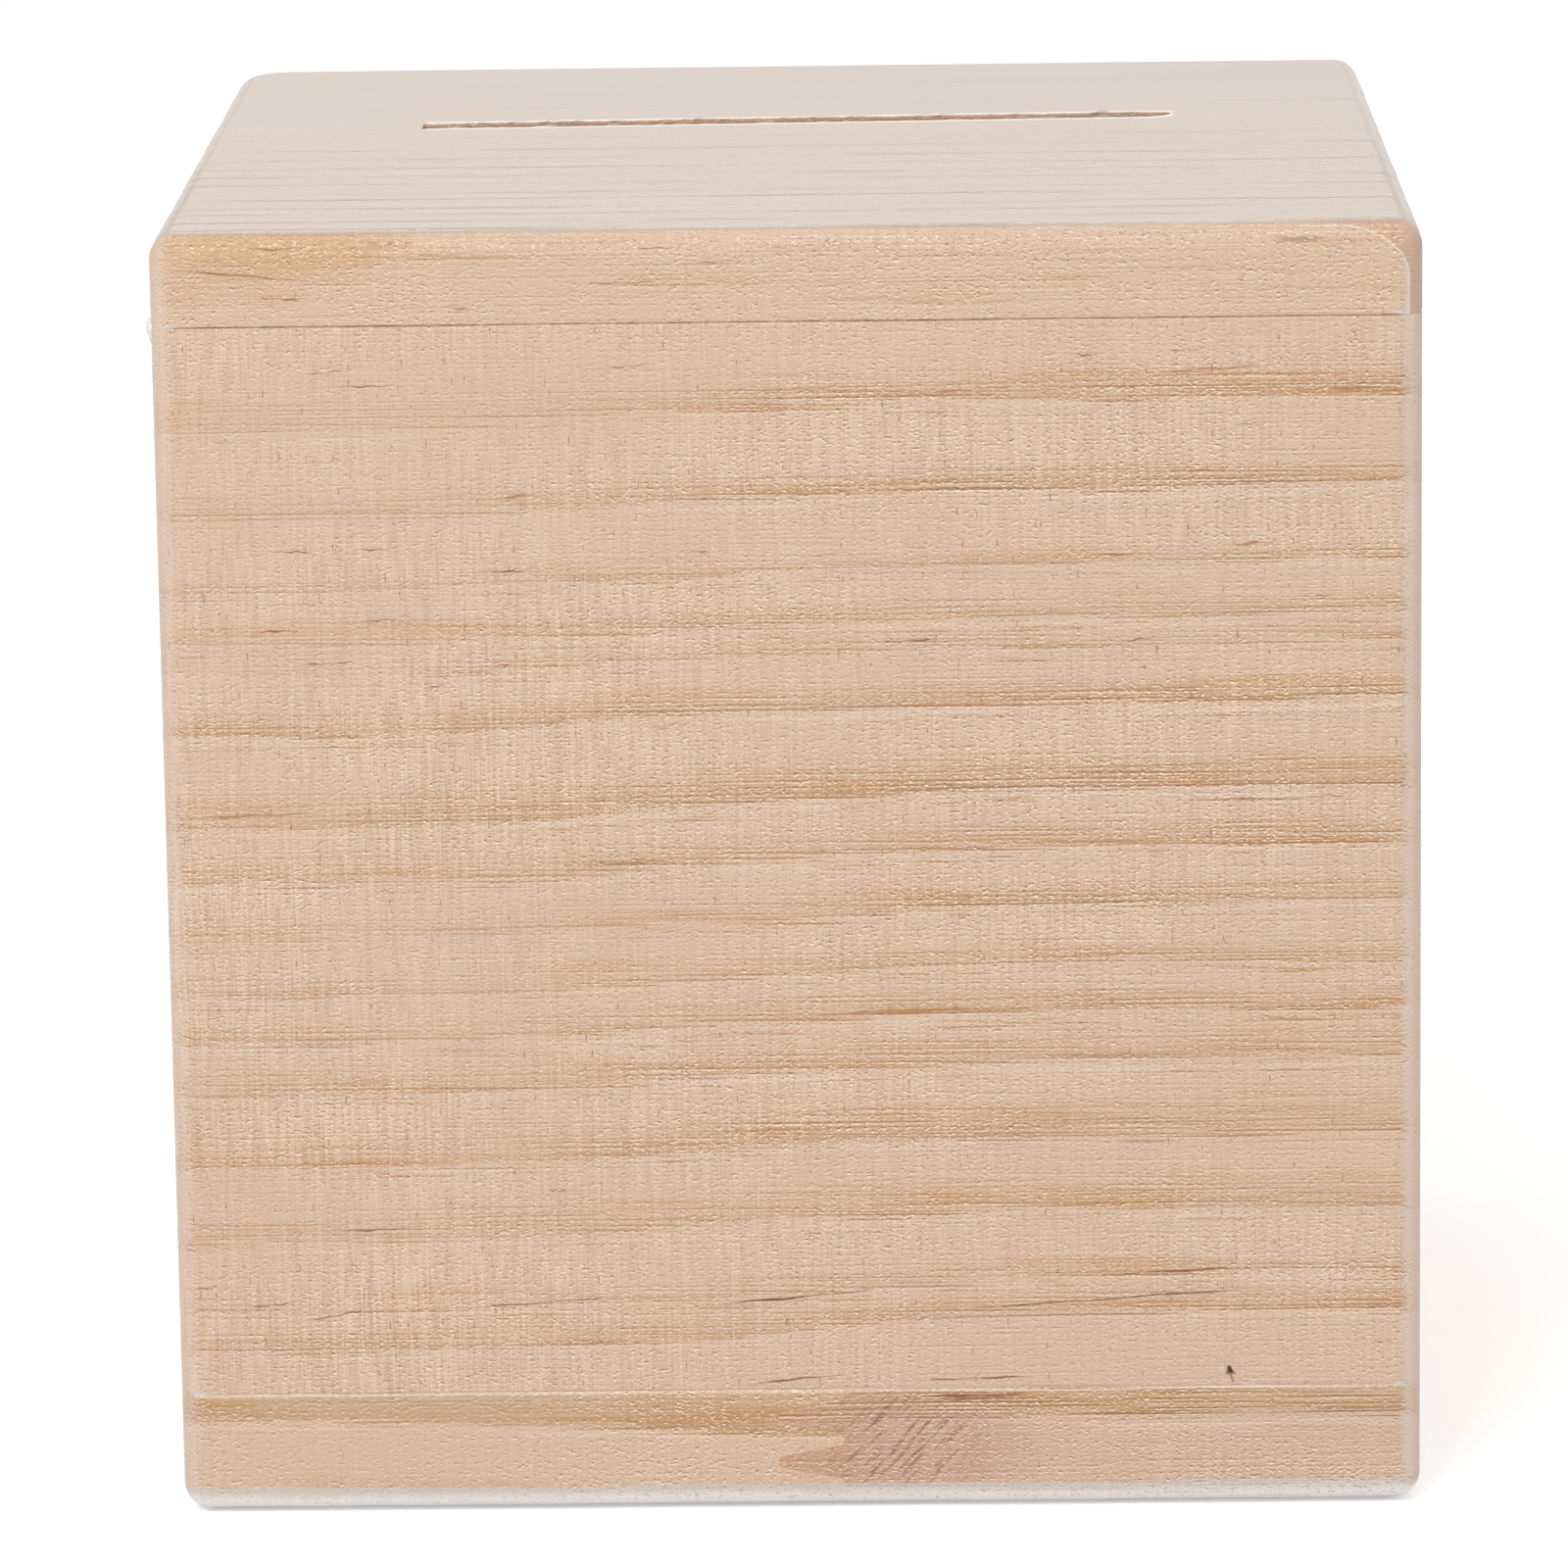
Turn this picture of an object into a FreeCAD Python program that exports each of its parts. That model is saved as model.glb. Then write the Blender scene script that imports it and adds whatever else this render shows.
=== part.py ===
import FreeCAD, Part
import math
import os

from FreeCAD import Vector

# A square pine money box, in millimetres. The origin is the middle of the underside,
# the front faces -Y and +Z is up. Four walls carry a glued top board with a money slot,
# and four screws from below hold the base board, so that the money can be taken out.

# Boards
CASE_WIDTH = 115.0
CASE_DEPTH = 115.0
WALL_HEIGHT = 100.0
WALL_THICKNESS = 10.0
TOP_THICKNESS = 8.5
BASE_THICKNESS = 11.5

# Outer edges, rounded by sanding the finished box
EDGE_RADIUS = 2.5
CORNER_RADIUS = 2.5
REAR_LEFT_CORNER_RADIUS = 5.5

# Money slot: square at its left end, drawn to a point at its right end, a little askew
SLOT_LENGTH = 73.5
SLOT_WIDTH = 3.4
SLOT_TIP_LENGTH = 5.0
SLOT_OFFSET_RIGHT = 0.4
SLOT_OFFSET_BACK = 14.3
SLOT_TURN_DEG = 2.2

# Base board: three strips glued edge to edge, the front one made of two finger-jointed lengths
FRONT_STRIP_WIDTH = 40.0
REAR_STRIP_WIDTH = 36.0
FINGER_JOINT_OFFSET_RIGHT = 1.0
FINGER_LENGTH = 6.1
FINGER_PITCH = 4.3
FINGER_TIP_WIDTH = 1.2
FINGER_TIP_ROUNDING = 0.5
FINGER_TIP_HEIGHT = 4.5

# Blind dowels in the four upright corner joints
DOWEL_DIAMETER = 6.0
DOWEL_LENGTH = 20.0
DOWEL_DEPTH_IN_FACE = 5.0
DOWEL_GLUE_GAP = 0.05
DOWEL_END_GAP = 0.5
DOWEL_INSET = 22.0

# Countersunk wood screws that hold the base board, set in from the middle of the walls
# so that their heads stay clear of the rounded lower edge
SCREW_LENGTH = 25.0
SCREW_HEAD_DIAMETER = 6.0
SCREW_HEAD_RECESS = 0.3
SCREW_SHANK_DIAMETER = 2.9
SCREW_CORE_DIAMETER = 2.0
SCREW_POINT_LENGTH = 4.0
SCREW_POINT_DIAMETER = 0.4
SCREW_INSET = 17.5
SCREW_SET_IN = 1.2
CROSS_SPAN = 3.2
CROSS_WIDTH = 0.8
CROSS_DEPTH = 1.3
SEAT_GAP = 0.15
SHANK_GAP = 0.25
PILOT_GAP = 0.1
PILOT_END_GAP = 1.0

# Heights and half sizes that follow from the boards
HALF_WIDTH = CASE_WIDTH / 2
HALF_DEPTH = CASE_DEPTH / 2
WALL_TOP = BASE_THICKNESS + WALL_HEIGHT
BOX_HEIGHT = WALL_TOP + TOP_THICKNESS
SIDE_LENGTH = CASE_DEPTH - 2 * WALL_THICKNESS
WALL_MIDDLE_X = HALF_WIDTH - WALL_THICKNESS / 2
WALL_MIDDLE_Y = HALF_DEPTH - WALL_THICKNESS / 2

UP = Vector(0, 0, 1)
FIND_TOLERANCE = 0.01
CUT_OVERRUN = 5.0


def box(low, high):
    size = Vector(*high) - Vector(*low)
    return Part.makeBox(size.x, size.y, size.z, Vector(*low))


def sanded_block():
    """The outside of the finished box: every board takes its outer faces from it."""
    block = box((-HALF_WIDTH, -HALF_DEPTH, 0), (HALF_WIDTH, HALF_DEPTH, BOX_HEIGHT))
    radii = {
        (-HALF_WIDTH, -HALF_DEPTH): CORNER_RADIUS,
        (HALF_WIDTH, -HALF_DEPTH): CORNER_RADIUS,
        (HALF_WIDTH, HALF_DEPTH): CORNER_RADIUS,
        (-HALF_WIDTH, HALF_DEPTH): REAR_LEFT_CORNER_RADIUS,
    }
    for (x, y), radius in radii.items():
        middle = Vector(x, y, BOX_HEIGHT / 2)
        upright = [e for e in block.Edges if e.CenterOfMass.isEqual(middle, FIND_TOLERANCE)]
        block = block.makeFillet(radius, upright)
    outlines = [e for e in block.Edges if e.BoundBox.ZLength < FIND_TOLERANCE]
    return block.makeFillet(EDGE_RADIUS, outlines)


def board(block, low, high):
    """One board: its own place in the box, with the sanded outside of the whole."""
    return block.common(box(low, high)).removeSplitter()


def slot_cutter():
    """Through cut for coins and notes: a rectangle whose right end is a pointed arch."""
    half = SLOT_WIDTH / 2
    left = -SLOT_LENGTH / 2
    tip = SLOT_LENGTH / 2
    shoulder = tip - SLOT_TIP_LENGTH
    arch_radius = (SLOT_TIP_LENGTH ** 2 + half ** 2) / SLOT_WIDTH
    half_sweep = math.asin(SLOT_TIP_LENGTH / arch_radius) / 2
    mid_x = shoulder + arch_radius * math.sin(half_sweep)
    mid_y = half - arch_radius * (1 - math.cos(half_sweep))
    edges = [
        Part.LineSegment(Vector(left, half, 0), Vector(left, -half, 0)),
        Part.LineSegment(Vector(left, -half, 0), Vector(shoulder, -half, 0)),
        Part.Arc(Vector(shoulder, -half, 0), Vector(mid_x, -mid_y, 0), Vector(tip, 0, 0)),
        Part.Arc(Vector(tip, 0, 0), Vector(mid_x, mid_y, 0), Vector(shoulder, half, 0)),
        Part.LineSegment(Vector(shoulder, half, 0), Vector(left, half, 0)),
    ]
    outline = Part.Face(Part.Wire([edge.toShape() for edge in edges]))
    cutter = outline.extrude(Vector(0, 0, TOP_THICKNESS + 2 * CUT_OVERRUN))
    cutter.rotate(Vector(0, 0, 0), UP, SLOT_TURN_DEG)
    cutter.translate(Vector(SLOT_OFFSET_RIGHT, SLOT_OFFSET_BACK, WALL_TOP - CUT_OVERRUN))
    return cutter


def dowel_seats():
    """Where each dowel meets the inner face of a front or back board, and its way out."""
    heights = (BASE_THICKNESS + DOWEL_INSET, WALL_TOP - DOWEL_INSET)
    seats = []
    for side in (-1, 1):
        for end in (-1, 1):
            for height in heights:
                face = Vector(side * WALL_MIDDLE_X, end * SIDE_LENGTH / 2, height)
                seats.append((face, Vector(0, -end, 0)))
    return seats


def dowel(face, way):
    start = face - way * DOWEL_DEPTH_IN_FACE
    return Part.makeCylinder(DOWEL_DIAMETER / 2, DOWEL_LENGTH, start, way)


def dowel_hole(face, way):
    start = face - way * (DOWEL_DEPTH_IN_FACE + DOWEL_END_GAP)
    return Part.makeCylinder(
        DOWEL_DIAMETER / 2 + DOWEL_GLUE_GAP, DOWEL_LENGTH + 2 * DOWEL_END_GAP, start, way)


def screw_places():
    """Name and axis of each screw, under the front and back boards."""
    x = HALF_WIDTH - SCREW_INSET
    y = WALL_MIDDLE_Y - SCREW_SET_IN
    return {
        "front_left": Vector(-x, -y, 0),
        "front_right": Vector(x, -y, 0),
        "rear_left": Vector(-x, y, 0),
        "rear_right": Vector(x, y, 0),
    }


def turned(points):
    """Solid of revolution about the Z axis from (radius, height) points."""
    corners = [Vector(radius, 0, height) for radius, height in points]
    profile = Part.Face(Part.makePolygon(corners + corners[:1]))
    return profile.revolve(Vector(0, 0, 0), UP, 360)


def base_screw():
    """Countersunk screw, head down: cone head, plain shank in the base, core in the wall."""
    head = SCREW_HEAD_DIAMETER / 2
    shank = SCREW_SHANK_DIAMETER / 2
    core = SCREW_CORE_DIAMETER / 2
    face = SCREW_HEAD_RECESS
    shank_end = BASE_THICKNESS - SEAT_GAP
    tip = face + SCREW_LENGTH
    body = turned([
        (0, face),
        (head, face),
        (shank, face + head - shank),
        (shank, shank_end),
        (core, shank_end),
        (core, tip - SCREW_POINT_LENGTH),
        (SCREW_POINT_DIAMETER / 2, tip),
        (0, tip),
    ])
    half_span = CROSS_SPAN / 2
    half_width = CROSS_WIDTH / 2
    depth = face + CROSS_DEPTH
    bar = box((-half_span, -half_width, face), (half_span, half_width, depth))
    other = box((-half_width, -half_span, face), (half_width, half_span, depth))
    return body.cut(bar.fuse(other))


def countersunk_hole():
    """Shank hole through the base with a 90 degree seat for the head."""
    hole = SCREW_SHANK_DIAMETER / 2 + SHANK_GAP
    seat = SCREW_HEAD_DIAMETER / 2 + SCREW_HEAD_RECESS + SEAT_GAP * math.sqrt(2)
    return turned([
        (0, 0),
        (seat, 0),
        (hole, seat - hole),
        (hole, BASE_THICKNESS),
        (0, BASE_THICKNESS),
    ])


def pilot_hole():
    """Hole for the threaded part in the lower edge of a wall."""
    radius = SCREW_CORE_DIAMETER / 2 + PILOT_GAP
    depth = SCREW_HEAD_RECESS + SCREW_LENGTH + PILOT_END_GAP - BASE_THICKNESS
    return Part.makeCylinder(radius, depth, Vector(0, 0, BASE_THICKNESS), UP)


def left_of_finger_joint():
    """Everything left of the glue line where the two lengths of the front strip interlock."""
    half_tip = FINGER_TIP_WIDTH / 2
    roots = FINGER_JOINT_OFFSET_RIGHT - FINGER_LENGTH / 2
    tips = FINGER_JOINT_OFFSET_RIGHT + FINGER_LENGTH / 2
    below = math.ceil(FINGER_TIP_HEIGHT / FINGER_PITCH)
    above = math.ceil((BASE_THICKNESS - FINGER_TIP_HEIGHT) / FINGER_PITCH)
    edges = []
    end = None
    for step in range(-below, above + 1):
        height = FINGER_TIP_HEIGHT + step * FINGER_PITCH
        for x, bulge, middle in ((roots, 1, height), (tips, -1, height + FINGER_PITCH / 2)):
            shoulder = x + bulge * FINGER_TIP_ROUNDING
            start = Vector(shoulder, 0, middle - half_tip)
            if end is not None:
                edges.append(Part.LineSegment(end, start).toShape())
            end = Vector(shoulder, 0, middle + half_tip)
            edges.append(Part.Arc(start, Vector(x, 0, middle), end).toShape())
    first = edges[0].firstVertex(True).Point
    far = -HALF_WIDTH - CUT_OVERRUN
    edges.append(Part.makePolygon([end, Vector(far, 0, end.z), Vector(far, 0, first.z), first]))
    face = Part.Face(Part.Wire(Part.__sortEdges__([e for shape in edges for e in shape.Edges])))
    region = face.extrude(Vector(0, CASE_DEPTH + 2 * CUT_OVERRUN, 0))
    region.translate(Vector(0, -HALF_DEPTH - CUT_OVERRUN, 0))
    return region


def walls(block):
    """Front and back boards run the full width, the side boards fit between them."""
    inner_x = HALF_WIDTH - WALL_THICKNESS
    inner_y = HALF_DEPTH - WALL_THICKNESS
    low = BASE_THICKNESS
    return {
        "front_board": board(block, (-HALF_WIDTH, -HALF_DEPTH, low), (HALF_WIDTH, -inner_y, WALL_TOP)),
        "back_board": board(block, (-HALF_WIDTH, inner_y, low), (HALF_WIDTH, HALF_DEPTH, WALL_TOP)),
        "left_board": board(block, (-HALF_WIDTH, -inner_y, low), (-inner_x, inner_y, WALL_TOP)),
        "right_board": board(block, (inner_x, -inner_y, low), (HALF_WIDTH, inner_y, WALL_TOP)),
    }


def base_strips(block):
    """The base board's strips, front to back, with the finger joint in the front one."""
    front_end = -HALF_DEPTH + FRONT_STRIP_WIDTH
    rear_end = HALF_DEPTH - REAR_STRIP_WIDTH
    high = BASE_THICKNESS
    front = board(block, (-HALF_WIDTH, -HALF_DEPTH, 0), (HALF_WIDTH, front_end, high))
    joint = left_of_finger_joint()
    return {
        "base_front_strip_left": front.common(joint),
        "base_front_strip_right": front.cut(joint),
        "base_middle_strip": board(block, (-HALF_WIDTH, front_end, 0), (HALF_WIDTH, rear_end, high)),
        "base_rear_strip": board(block, (-HALF_WIDTH, rear_end, 0), (HALF_WIDTH, HALF_DEPTH, high)),
    }


def drilled(solid, holes):
    """The solid with every hole that reaches it."""
    for hole in holes:
        if solid.BoundBox.intersect(hole.BoundBox):
            solid = solid.cut(hole)
    return solid


def moved(shape, place):
    copy = shape.copy()
    copy.translate(place)
    return copy


def money_box():
    block = sanded_block()
    seats = dowel_seats()
    screws = screw_places()
    dowel_holes = [dowel_hole(*seat) for seat in seats]
    pilots = [moved(pilot_hole(), place) for place in screws.values()]
    sinks = [moved(countersunk_hole(), place) for place in screws.values()]

    parts = {}
    top = board(block, (-HALF_WIDTH, -HALF_DEPTH, WALL_TOP), (HALF_WIDTH, HALF_DEPTH, BOX_HEIGHT))
    parts["top_board"] = top.cut(slot_cutter())
    for name, wall in walls(block).items():
        parts[name] = drilled(wall, dowel_holes + pilots)
    for name, strip in base_strips(block).items():
        parts[name] = drilled(strip, sinks)
    parts["corner_dowels"] = Part.makeCompound([dowel(*seat) for seat in seats])
    for name, place in screws.items():
        parts["base_screw_" + name] = moved(base_screw(), place)
    return parts


os.makedirs("parts", exist_ok=True)
for node, shape in money_box().items():
    shape.exportStep("parts/" + node + ".step")
    print(node, len(shape.Solids), "solid(s)", round(shape.Volume / 1000, 2), "cm3", shape.isValid())
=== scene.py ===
import math
from functools import partialmethod

import bpy
import numpy as np
from mathutils import Matrix, Vector


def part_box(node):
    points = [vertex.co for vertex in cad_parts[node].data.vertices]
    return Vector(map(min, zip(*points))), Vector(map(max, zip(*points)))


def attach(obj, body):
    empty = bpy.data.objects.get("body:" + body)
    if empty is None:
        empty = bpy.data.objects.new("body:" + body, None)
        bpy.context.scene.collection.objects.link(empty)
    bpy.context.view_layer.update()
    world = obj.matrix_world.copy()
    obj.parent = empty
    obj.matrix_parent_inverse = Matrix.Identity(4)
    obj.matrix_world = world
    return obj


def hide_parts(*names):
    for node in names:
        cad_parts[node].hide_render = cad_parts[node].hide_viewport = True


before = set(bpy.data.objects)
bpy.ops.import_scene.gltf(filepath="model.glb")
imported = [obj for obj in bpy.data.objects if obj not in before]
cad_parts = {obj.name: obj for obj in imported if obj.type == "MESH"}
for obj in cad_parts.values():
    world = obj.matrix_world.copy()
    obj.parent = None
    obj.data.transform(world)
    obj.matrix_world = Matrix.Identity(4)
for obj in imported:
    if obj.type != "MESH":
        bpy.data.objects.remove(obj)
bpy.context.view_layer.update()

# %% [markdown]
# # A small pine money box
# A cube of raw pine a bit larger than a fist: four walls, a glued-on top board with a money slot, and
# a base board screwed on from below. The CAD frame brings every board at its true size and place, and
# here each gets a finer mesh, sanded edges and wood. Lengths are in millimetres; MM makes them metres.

MM = 0.001


def in_mm(node):
    low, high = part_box(node)
    return np.array(low) / MM, np.array(high) / MM


top_low, top_high = in_mm("top_board")
wall_low, wall_high = in_mm("front_board")
HALF = top_high[0]
TOP = top_high[2]
SEAM = top_low[2]
BASE = wall_low[2]
WALL = wall_high[1] - wall_low[1]
print("box", 2 * HALF, "mm wide,", TOP, "mm high; seams at", BASE, "and", SEAM)

# %% [markdown]
# ## Sanding the box
# The boards are glued up square, then the whole box is held against a sanding belt. That is why one
# soft round of about 2.5 mm runs on across the seams. A Bevel modifier would round each board by
# itself, so this function pulls in the corners of the whole box, a little unevenly.

# %% Sand the outside edges
EDGE = 2.5
REAR_LEFT = 5.5


def wander(t, seed, size):
    """A slow, smooth wobble along t."""
    waves = (1, 0.11, 1), (0.6, 0.27, 2.3), (0.4, 0.61, 4.1)
    return size * sum(share * np.sin(t * rate + turn * seed) for share, rate, turn in waves) / 2


def round_off(a, b):
    """Turns a square corner, seen along its edge, into a quarter circle."""
    reach = np.hypot(a, b)
    return np.where(reach > 1e-9, np.maximum(a, b) / np.maximum(reach, 1e-9), 1.0)


def sand(points):
    """Rounds the four upright edges, then all edges around the top and the base."""
    x, y, z = points.T.copy()
    radius = np.where((x < 0) & (y > 0), REAR_LEFT, EDGE)
    a = np.maximum(np.abs(x) - (HALF - radius), 0)
    b = np.maximum(np.abs(y) - (HALF - radius), 0)
    keep = round_off(a, b)
    x = np.sign(x) * (np.abs(x) - a * (1 - keep))
    y = np.sign(y) * (np.abs(y) - b * (1 - keep))
    a = np.abs(x) - (HALF - radius)
    b = np.abs(y) - (HALF - radius)
    outer = np.hypot(np.maximum(a, 0), np.maximum(b, 0))
    inside = radius - (outer + np.minimum(np.maximum(a, b), 0))
    both = (a > 0) & (b > 0)
    way_x = np.where(both, a / np.maximum(outer, 1e-9), a >= b) * np.sign(x)
    way_y = np.where(both, b / np.maximum(outer, 1e-9), b > a) * np.sign(y)
    edge = EDGE * (1 + wander(x + 2 * y, 1.7, 0.05))
    across = np.maximum(edge - inside, 0)
    upper = z > TOP / 2
    along = np.maximum(np.where(upper, z - (TOP - edge), edge - z), 0)
    keep = np.where((across > 0) & (along > 0), round_off(across, along), 1.0)
    x = x - way_x * across * (1 - keep)
    y = y - way_y * across * (1 - keep)
    z = z - np.where(upper, 1, -1) * along * (1 - keep)
    return np.stack([x, y, z], 1)


def sanded_share(points):
    """1 on the rounded edges, paler from sanding and a painted reflection, and 0 well away from them."""
    x, y, z = np.abs(points[:, 0]), np.abs(points[:, 1]), points[:, 2]
    gaps = np.sort(np.stack([HALF - x, HALF - y, np.minimum(z, TOP - z)], 1), 1)
    return np.clip((3.4 - gaps[:, 1]) / 1.6, 0, 1)


corner = np.array([[HALF, -HALF, TOP]])
print("the belt takes off at a corner:", np.round(np.abs(corner - sand(corner))[0], 2), "mm")

# %% [markdown]
# ## Boards from a grid
# A board is a block, so its mesh can be a grid of little bricks: close together near edges and details,
# wide apart elsewhere. Lines near a round lie so that sanding spreads them evenly over it.

# %% Draw the lines of the grid
ROUND_STEPS = [1 - math.tan(math.radians(angle)) for angle in (45, 39, 33, 27, 21, 15, 8, 0)]
SEAM_STEPS = [0, 0.07, 0.16, 0.3, 0.6, 1.2]
edge_marks = [EDGE * s for s in ROUND_STEPS]
rear_marks = [REAR_LEFT * s for s in ROUND_STEPS]


def marks(low, high, step, near_low=(), near_high=(), extra=()):
    """Grid lines from low to high: about step apart, with closer ones near the ends."""
    fine = [low + s for s in near_low] + [high - s for s in near_high] + list(extra) + [low, high]
    coarse = np.linspace(low, high, max(2, int(round((high - low) / step)) + 1))
    lines = sorted(set(np.round(fine, 4)))
    for line in coarse:
        if min(abs(line - f) for f in lines) > step * 0.45:
            lines.append(round(float(line), 4))
    return np.array(sorted(lines))


full_xs = marks(-HALF, HALF, 2.5, edge_marks, edge_marks)
wall_zs = marks(BASE, SEAM, 2.5, SEAM_STEPS, SEAM_STEPS)
print("grid lines across a wall:", len(full_xs), "and up it:", len(wall_zs))

# %% [markdown]
# ## Bricks into a mesh
# Where a brick has no neighbour it shows a face, and those faces are the mesh. Leaving bricks out makes
# a hole, such as the slot. Each point keeps how much it was sanded, so that the wood is paler there,
# from sanding and, on the upright rounds and underneath, from a painted reflection.

# %% Turn bricks into a board
def new_piece(name, points, faces, sharp=None):
    """An object from points in mm; edges sharper than so many degrees stay crisp."""
    mesh = bpy.data.meshes.new(name)
    mesh.from_pydata((np.array(points) * MM).tolist(), [], faces)
    if sharp:
        mesh.polygons.foreach_set("use_smooth", [True] * len(mesh.polygons))
        mesh.set_sharp_from_angle(angle=math.radians(sharp))
    piece = bpy.data.objects.new(name, mesh)
    bpy.context.scene.collection.objects.link(piece)
    return piece


def paint_points(piece, layer, values):
    layer = piece.data.attributes.new(layer, "FLOAT", "POINT")
    layer.data.foreach_set("value", np.array(values, np.float32))


def outer_faces(bricks, counts):
    """The corners, as numbers in the grid, of each face that has no neighbour."""
    quads = []
    for axis in range(3):
        pad = [(1, 1) if i == axis else (0, 0) for i in range(3)]
        ahead = np.moveaxis(np.pad(bricks, pad), axis, 0)
        here, there = ahead[:-1], ahead[1:]
        second, third = [(1, 2), (2, 0), (0, 1)][axis]
        order = [axis] + [i for i in range(3) if i != axis]
        for wanted, turn in ((here & ~there, 1), (~here & there, -1)):
            cells = np.argwhere(wanted)
            first = np.zeros((len(cells), 3), int)
            first[:, order] = cells
            corners = []
            for p, q in ((0, 0), (1, 0), (1, 1), (0, 1))[::turn]:
                c = first.copy()
                c[:, second] += p
                c[:, third] += q
                corners.append(np.ravel_multi_index(c.T, counts))
            quads.append(np.stack(corners, 1))
    return np.concatenate(quads)


def board_mesh(name, xs, ys, zs, shape, hollow=None, paint=None):
    """Bricks between the grid lines, bent by shape(points); hollow(x, y, z) leaves some out."""
    centres = [(line[1:] + line[:-1]) / 2 for line in (xs, ys, zs)]
    bricks = np.ones([len(c) for c in centres], bool)
    if hollow:
        bricks &= ~hollow(*np.meshgrid(*centres, indexing="ij"))
    counts = [len(xs), len(ys), len(zs)]
    used, quads = np.unique(outer_faces(bricks, counts), return_inverse=True)
    i, j, k = np.unravel_index(used, counts)
    square = np.stack([xs[i], ys[j], zs[k]], 1)
    final = shape(square)
    piece = new_piece(name, final, quads.reshape(-1, 4).tolist(), 38)
    layers = {"sanded": sanded_share(final), **(paint(square) if paint else {})}
    for layer, values in layers.items():
        paint_points(piece, layer, values)
    return piece


print("one brick shows", len(outer_faces(np.ones((1, 1, 1), bool), [2, 2, 2])), "faces")

# %% [markdown]
# ## Seams
# Two boards never meet in a perfect line: each arris is worn, so a thin dark groove shows. Points next
# to a seam are pulled inwards by a tenth of a millimetre or two: real depth, dark from every side.

# %% Ease the boards along a seam
def pull_seam(points, height, upwards, depth, seed):
    """Outside points close above a seam, or close below it, go inwards a little."""
    x, y, z = points.T
    away = (z - height) if upwards else (height - z)
    gap = HALF - np.maximum(np.abs(x), np.abs(y))
    near = np.clip(1 - away / 0.2, 0, 1) ** 2 * np.clip(1 - gap / 0.5, 0, 1)
    line = x + 1.7 * y
    waves = 0.45 * np.sin(line * 1.9 + seed) * np.sin(line * 0.73 + 2 * seed)
    pull = depth * near * (1 + waves + 0.3 * np.sin(line * 5.3 + 3 * seed))
    side = np.abs(x) > np.abs(y)
    moved = points.copy()
    moved[:, 0] -= np.where(side, np.sign(x) * pull, 0)
    moved[:, 1] -= np.where(side, 0, np.sign(y) * pull)
    return moved


worn = pull_seam(np.array([[0, -HALF, SEAM]]), SEAM, False, 0.2, 0.4)[0]
print("depth of the upper seam at the middle:", round(worn[1] + HALF, 3), "mm")

# %% [markdown]
# ## The slot
# The slot is routed: square where the cutter went in on the left, run out to a narrow round on the
# right. Raw pine tears as it is cut, and a Boolean would leave clean edges. So the grid has close
# lines along the slot, and its edges waver by a tenth of a millimetre.

# %% Shape the slot
SLOT_LEFT, SLOT_RIGHT = -36.3, 37.1
SLOT_TURN_X = 0.4
SLOT_MIDDLE = 14.3
SLOT_HALF = 1.7
SLOT_SLOPE = math.tan(math.radians(2.2))
SLOT_RUN_OUT = 4.0


def slot_opening(x):
    """Share of its full width that the slot has at x: it closes over the last few millimetres."""
    left = np.clip((SLOT_RIGHT - x) / SLOT_RUN_OUT, 0, 1)
    return np.clip(1 - (1 - left) ** 2.4, 0, 1) ** (1 / 2.4)


def shape_top(points):
    """Makes the slot's edges ragged and turns it a little, then sands the board."""
    x, y, z = points.T.copy()
    off = y - SLOT_MIDDLE
    rim = np.sign(off)
    beside = np.clip(1 - (np.abs(off) - SLOT_HALF) / 14, 0, 1)
    past_end = np.maximum(np.maximum(SLOT_LEFT - x, x - SLOT_RIGHT), 0)
    open_share = slot_opening(x)
    coarse, fine = np.sin(x * 2.1) * np.sin(x * 0.37 + rim), np.sin(x * 5.3 + 2 * rim) * np.sin(x * 0.9)
    ragged = 0.04 * coarse + 0.05 * fine
    eased = 0.14 * np.clip(1 - (TOP - z) / 0.28, 0, 1) ** 2
    in_slot = (x > SLOT_LEFT - 0.5) & (x < SLOT_RIGHT + 0.2)
    hug = np.clip(1 - (np.abs(off) - SLOT_HALF) / 3, 0, 1)
    change = (open_share - 1) * SLOT_HALF + 0.02 + (ragged + eased) * open_share
    y = y + hug * np.where(in_slot, np.clip(off / SLOT_HALF, -1, 1) * change + 0.5 * (1 - open_share), 0)
    y = y + SLOT_SLOPE * (x - SLOT_TURN_X) * beside * np.clip(1 - past_end / 10, 0, 1)
    points = sand(np.stack([x, y, z], 1))
    return pull_seam(points, SEAM, True, 0.28, 0.7)


def paint_slot(square):
    """Marks the slot's edges for torn fibres and a painted highlight, and its walls for painted shade."""
    x, y, z = square.T
    beside = np.abs(y - SLOT_MIDDLE) - SLOT_HALF
    ends = np.clip(1 - np.maximum(SLOT_LEFT - x, x - SLOT_RIGHT) / 0.3, 0, 1)
    # along the slot's edges: pale torn fibres and a painted highlight; on its walls: painted shade
    burr = np.clip(3.5 - beside / 0.3, 0, 1) * (z > TOP - 0.01) * ends * (x > SLOT_LEFT)
    walls = (np.abs(beside) < 0.01) & (x > SLOT_LEFT - 0.01) & (x < SLOT_RIGHT + 0.01)
    return {"burr": burr, "cut": walls * np.clip((TOP - z) / 0.1, 0, 1)}


def slot_bricks(x, y, z):
    return (x > SLOT_LEFT) & (x < SLOT_RIGHT) & (np.abs(y - SLOT_MIDDLE) < SLOT_HALF)


print("slot:", round(SLOT_RIGHT - SLOT_LEFT, 1), "x", 2 * SLOT_HALF, "mm")
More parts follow.
